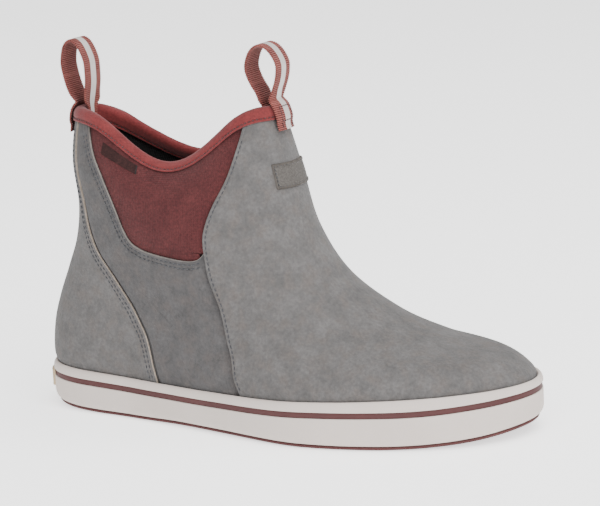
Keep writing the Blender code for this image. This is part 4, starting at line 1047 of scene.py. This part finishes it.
def make_strap(word, middle, shape, lean):
    """One webbing strap: sewn on outside, up over the hinge line, round the loop and down inside."""
    centre = hinge_point(middle)
    coarse = np.linspace(-1, 1, 9)
    out = tab_points(middle, OUTSIDE_TAB, coarse, OUTSIDE_HALF)
    inn = tab_points(middle, INSIDE_TAB, coarse, INSIDE_HALF)
    x, z = loop_line(shape, lean, centre)
    if middle != 0:
        x, z = x[::-1], z[::-1]
    loop = np.zeros((len(x), len(coarse), 3))
    share = np.linspace(0, 1, len(x))[:, None]
    loop[..., 0] = x[:, None]
    loop[..., 1] = coarse[None] * STRAP_HALF
    loop[..., 2] = z[:, None]
    # the strap keeps some of the collar's curve for a short way up each leg
    bend_out = out[-1] - out[-1][4]
    bend_in = inn[-1] - inn[-1][4]
    fade_out = np.clip(1 - share * 7.0, 0, 1) ** 2
    fade_in = np.clip(1 - (1 - share) * 7.0, 0, 1) ** 2
    for k in (0, 2):
        loop[..., k] += 0.8 * fade_out * bend_out[None, :, k] + 0.8 * fade_in * bend_in[None, :, k]
    path = np.concatenate([out, loop, inn[::-1]])
    # even spacing along the strap, smooth through the given rows
    step = np.linalg.norm(np.diff(path[:, 4], axis=0), axis=1)
    at = np.concatenate([[0], np.cumsum(step)])
    length = at[-1]
    rows = int(length / RIB) * 6 + 1
    s = np.linspace(0, length, rows)
    smooth = np.stack([[curve(at, path[:, c, k], s) for k in range(3)] for c in range(len(coarse))])
    smooth = np.transpose(smooth, (2, 0, 1))
    kernel = np.exp(-0.5 * (np.arange(-9, 10) / 4.0) ** 2)
    kernel = kernel / kernel.sum()
    soft = np.pad(smooth, ((9, 9), (0, 0), (0, 0)), mode="edge")
    soft[:9] = 2 * smooth[0] - smooth[9:0:-1]
    soft[-9:] = 2 * smooth[-1] - smooth[-2:-11:-1]
    smooth = sum(kernel[i] * soft[i:i + rows] for i in range(19))
    mid = np.stack([[np.interp(STRAP_COLUMNS, coarse, smooth[r, :,
            k]) for k in range(3)] for r in range(rows)])
    mid = np.transpose(mid, (0, 2, 1))
    along = np.gradient(mid, axis=0)
    across = np.gradient(mid, axis=1)
    n = np.cross(along, across)
    n = n / np.linalg.norm(n, axis=2, keepdims=True)
    # outward is away from the loop's hole
    heart = np.array([centre[0], 0.0, centre[2] + 18.0])
    top = np.argmax(mid[:, 13, 2])
    if ((mid[top, 13] - heart) * n[top, 13]).sum() < 0:
        n = -n
    size = np.linalg.norm(across, axis=2, keepdims=True)
    sideways = across / size
    c = STRAP_COLUMNS[None, :]
    rib = np.cos(2 * math.pi * s / RIB)[:, None]
    edge = np.clip((np.abs(c) - 0.93) / 0.07, 0, 1)
    mid = mid + sideways * (np.sign(c) * edge * (0.3 * rib - 0.06))[..., None]
    half = 0.52 * np.sqrt(np.clip(1 - edge ** 2 * 0.8, 0, 1))
    weave = 0.03 * np.cos(c * math.pi * 13)
    plain = half + 0.17 * rib + weave
    tape = np.abs(c) < 0.34
    outer = np.where(tape, half + 0.2, plain)
    face = mid + n * outer[..., None]
    back = mid - n * plain[..., None]
    count = len(STRAP_COLUMNS)
    ring = np.concatenate([face, back[:, ::-1]], 1)
    total = ring.shape[1]
    faces = grid(rows, total, True)
    column = np.tile(np.arange(total), rows - 1)
    middle_of = np.where(column < count - 1, np.abs(STRAP_COLUMNS[np.clip(column, 0, count - 1)] +
                                                    STRAP_COLUMNS[np.clip(column + 1, 0, count - 1)]) / 2,
                                                    1.0)
    # Faces in the rib troughs take the darker webbing copy: painted shade between the ribs.
    low = np.repeat(rib[:-1, 0] + rib[1:, 0] < -0.9, total)
    index = np.where(middle_of < 0.325, 1, np.where(low, 2, 0)).tolist()
    faces = faces.tolist()
    faces.append(list(range(total - 1, -1, -1)))
    faces.append([(rows - 1) * total + k for k in range(total)])
    index += [0, 0]
    test = face[top + 1, 13] - face[top, 13]
    turning = np.cross(face[top, 14] - face[top, 13], test)
    if (turning * n[top, 13]).sum() < 0:
        faces = [f[::-1] for f in faces]
    nodes = [word + tail for tail in ("_tab_outside", "_tab_inside", "_tab_stripe", "_loop",
            "_loop_stripe")]
    strap = piece(word + "_pull_strap", ring, faces, [WEBBING, REFLECT, WEBBING_TROUGH_SHADE], index, None, nodes)
    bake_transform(strap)

    def strap_line(rises, sides):
        """Points on the strap's outer face, given millimetres from its outside end and sideways share."""
        r = np.interp(rises, s, np.arange(rows))
        k = np.interp(sides, STRAP_COLUMNS, np.arange(count))
        i = np.clip(r.astype(int), 0, rows - 2)
        j = np.clip(k.astype(int), 0, count - 2)
        a, b = (r - i)[:, None], (k - j)[:, None]
        lift = face + n * 0.02
        p = (lift[i, j] * (1 - a) + lift[i + 1, j] * a) * (1 - b) + (lift[i, j + 1] * (1 - a) + lift[i + 1,
                j + 1] * a) * b
        return p, n[i, j]

    box = [((5.5, -0.62), (5.5, 0.62)), ((1.2, 0.62), (13.3, 0.62)), ((13.3, 0.62), (13.3, -0.62)), ((13.3,
            -0.62), (1.2, -0.62))]
    for i, (a, b) in enumerate(box):
        t = np.linspace(0, 1, 40)
        p, q = strap_line(a[0] + (b[0] - a[0]) * t, a[1] + (b[1] - a[1]) * t)
        stitches(word + "_strap_thread_" + str(i), p, q, RED_THREAD, length=1.6, pitch=1.9, radius=0.34,
                lift=0.0)
    return length


# ---- footbed -------------------------------------------------------------------------------------
def bed_height(x, share):
    thick = curve([-151.0, -110.0, -60.0, 0.0, 60.0, 151.0], [6.2, 5.6, 6.4, 6.0, 4.4, 3.6], x)
    cup = curve([-151.0, -110.0, -40.0, 20.0, 151.0], [3.0, 3.0, 1.2, 0.2, 0.0], x)
    arch = curve([-151.0, -90.0, -40.0, 15.0, 60.0, 151.0], [0.0, 0.6, 3.4, 2.4, 0.4, 0.0], x)
    side = 2 * share - 1
    return ground(x) + 13.0 + thick + cup * np.abs(side) ** 3 + arch * np.clip(side, 0, 1) ** 2


def bed_piece(name, inset, low, high, soft, material, nodes):
    """Closed pad inside the sole outline, its rim rounded by soft millimetres."""
    angle = np.concatenate([np.linspace(0.05, 0.4, 16), np.linspace(0.4, math.pi - 0.4, 130)[1:-1],
                            np.linspace(math.pi - 0.4, math.pi - 0.05, 16)])
    share = 0.5 - 0.5 * np.cos(np.linspace(0, math.pi, 41))
    left = np.stack(outline(-angle, inset), -1)
    right = np.stack(outline(angle, inset), -1)
    flat = left[:, None] * (1 - share[None, :, None]) + right[:, None] * share[None, :, None]
    x, y = flat[..., 0], flat[..., 1]
    ends = np.minimum(x - x.min(), x.max() - x)
    room = np.minimum(np.minimum(np.linalg.norm(flat - left[:, None], axis=2),
                                 np.linalg.norm(flat - right[:, None], axis=2)), ends)
    drop = soft - np.sqrt(np.clip(soft ** 2 - np.clip(soft - room, 0, soft) ** 2, 0, None))
    top = np.stack([x, y, high(x, share[None]) - drop], -1)
    base = np.stack([x, y, low(x, share[None]) + np.zeros_like(x)], -1)
    rows, cols = x.shape
    points = np.concatenate([top.reshape(-1, 3), base.reshape(-1, 3)])
    layer = rows * cols
    faces = grid(rows, cols, flip=True).tolist() + grid(rows, cols, start=layer).tolist()
    border = [i * cols for i in range(rows)] + [(rows - 1) * cols + k for k in range(1, cols)]
    border += [i * cols + cols - 1 for i in range(rows - 2, -1, -1)] + [k for k in range(cols - 2, 0, -1)]
    for i, a in enumerate(border):
        b = border[(i + 1) % len(border)]
        faces.append([a, b, b + layer, a + layer])
    # angle runs from toe to heel, so the sheet above faces up when flipped; check it
    q = faces[0]
    p = points
    up = np.cross(p[q[1]] - p[q[0]], p[q[2]] - p[q[0]])[2]
    if up < 0:
        faces = [f[::-1] for f in faces]
    return piece(name, points, faces, [material], None, "boot", nodes)


def make_bed():
    foam = bed_piece("footbed_pad", 9.4, lambda x, share: ground(x) + 13.0, bed_height, 1.4, FOAM,
            ("footbed",))
    bed_piece("footbed_top_cloth", 9.5, lambda x, share: bed_height(x, share) - 0.9,
              lambda x, share: bed_height(x, share) + 1.05, 1.7, COVER, ("footbed_cover",))


# ---- everything ----------------------------------------------------------------------------------
make_vamp()
make_counter()
for side, word in ((-1, "outer"), (1, "inner")):
    make_quarter(word, side)
    make_gore(word, side)
leather_stitches()
make_binding()
make_lining()
make_walls()
make_outsole()
make_badge()
make_patch()
make_label()
make_bed()
make_strap("front", 0, FRONT_LOOP, FRONT_LEAN)
make_strap("rear", math.pi, REAR_LOOP, REAR_LEAN)

for node, material in (("midsole", MIDSOLE), ("shank", STEEL), ("insole_board", BOARD), ("toe_puff", STIFF),
                       ("heel_stiffener", STIFF)):
    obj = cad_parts[node]
    for slot in obj.material_slots:
        slot.material = material

# ---- floor, light and camera ---------------------------------------------------------------------
FLOOR_HALF = 6.0
FLOOR_DROP = 0.0002
floor_mesh = bpy.data.meshes.new("floor")
floor_mesh.from_pydata([(x * FLOOR_HALF, y * FLOOR_HALF, -FLOOR_DROP) for x, y in ((-1, -1), (1, -1), (1,
        1), (-1, 1))], [], [(0, 1, 2, 3)])
floor_mesh.materials.append(FLOOR)
floor = bpy.data.objects.new("floor", floor_mesh)
bpy.context.scene.collection.objects.link(floor)

world = bpy.data.worlds.new("studio")
world.use_nodes = True
world.node_tree.nodes["Background"].inputs["Color"].default_value = (1.0, 1.0, 1.0, 1.0)
world.node_tree.nodes["Background"].inputs["Strength"].default_value = 0.85
bpy.context.scene.world = world


def soft_light(name, place, aim, size, power):
    data = bpy.data.lights.new(name, "AREA")
    data.shape = "RECTANGLE"
    data.size = size[0]
    data.size_y = size[1]
    data.energy = power
    light = bpy.data.objects.new(name, data)
    way = Vector(aim) - Vector(place)
    light.matrix_world = Matrix.Translation(Vector(place)) @ way.to_track_quat("-Z",
            "Y").to_matrix().to_4x4()
    bpy.context.scene.collection.objects.link(light)


soft_light("key", (0.35, -1.5, 1.5), (0, 0, 0.08), (1.4, 1.2), 24.0)
soft_light("top", (0.7, 0.1, 1.8), (0.05, 0, 0.05), (1.8, 1.4), 34.0)
soft_light("fill", (1.5, -0.9, 0.9), (0.05, 0, 0.08), (1.2, 1.0), 22.0)

camera_data = bpy.data.cameras.new("camera")
camera_data.lens = 147.9
camera_data.sensor_width = 36.0
camera_data.shift_x = 0.0323
camera_data.shift_y = 0.0148
camera_data.clip_start = 0.05
camera = bpy.data.objects.new("camera", camera_data)
yaw, pitch, roll = math.radians(27.0), math.radians(12.5), math.radians(-3.0)
back = Vector((math.sin(yaw) * math.cos(pitch), -math.cos(yaw) * math.cos(pitch), math.sin(pitch)))
right = Vector((math.cos(yaw), math.sin(yaw), 0.0))
up = back.cross(right)
right, up = right * math.cos(roll) + up * math.sin(roll), up * math.cos(roll) - right * math.sin(roll)
turned = Matrix((right, up, back)).transposed().to_4x4()
camera.matrix_world = Matrix.Translation(Vector((0.0006, 0.00503, 0.090)) + back * 1.4) @ turned
bpy.context.scene.collection.objects.link(camera)
bpy.context.scene.camera = camera


bpy.context.view_layer.update()
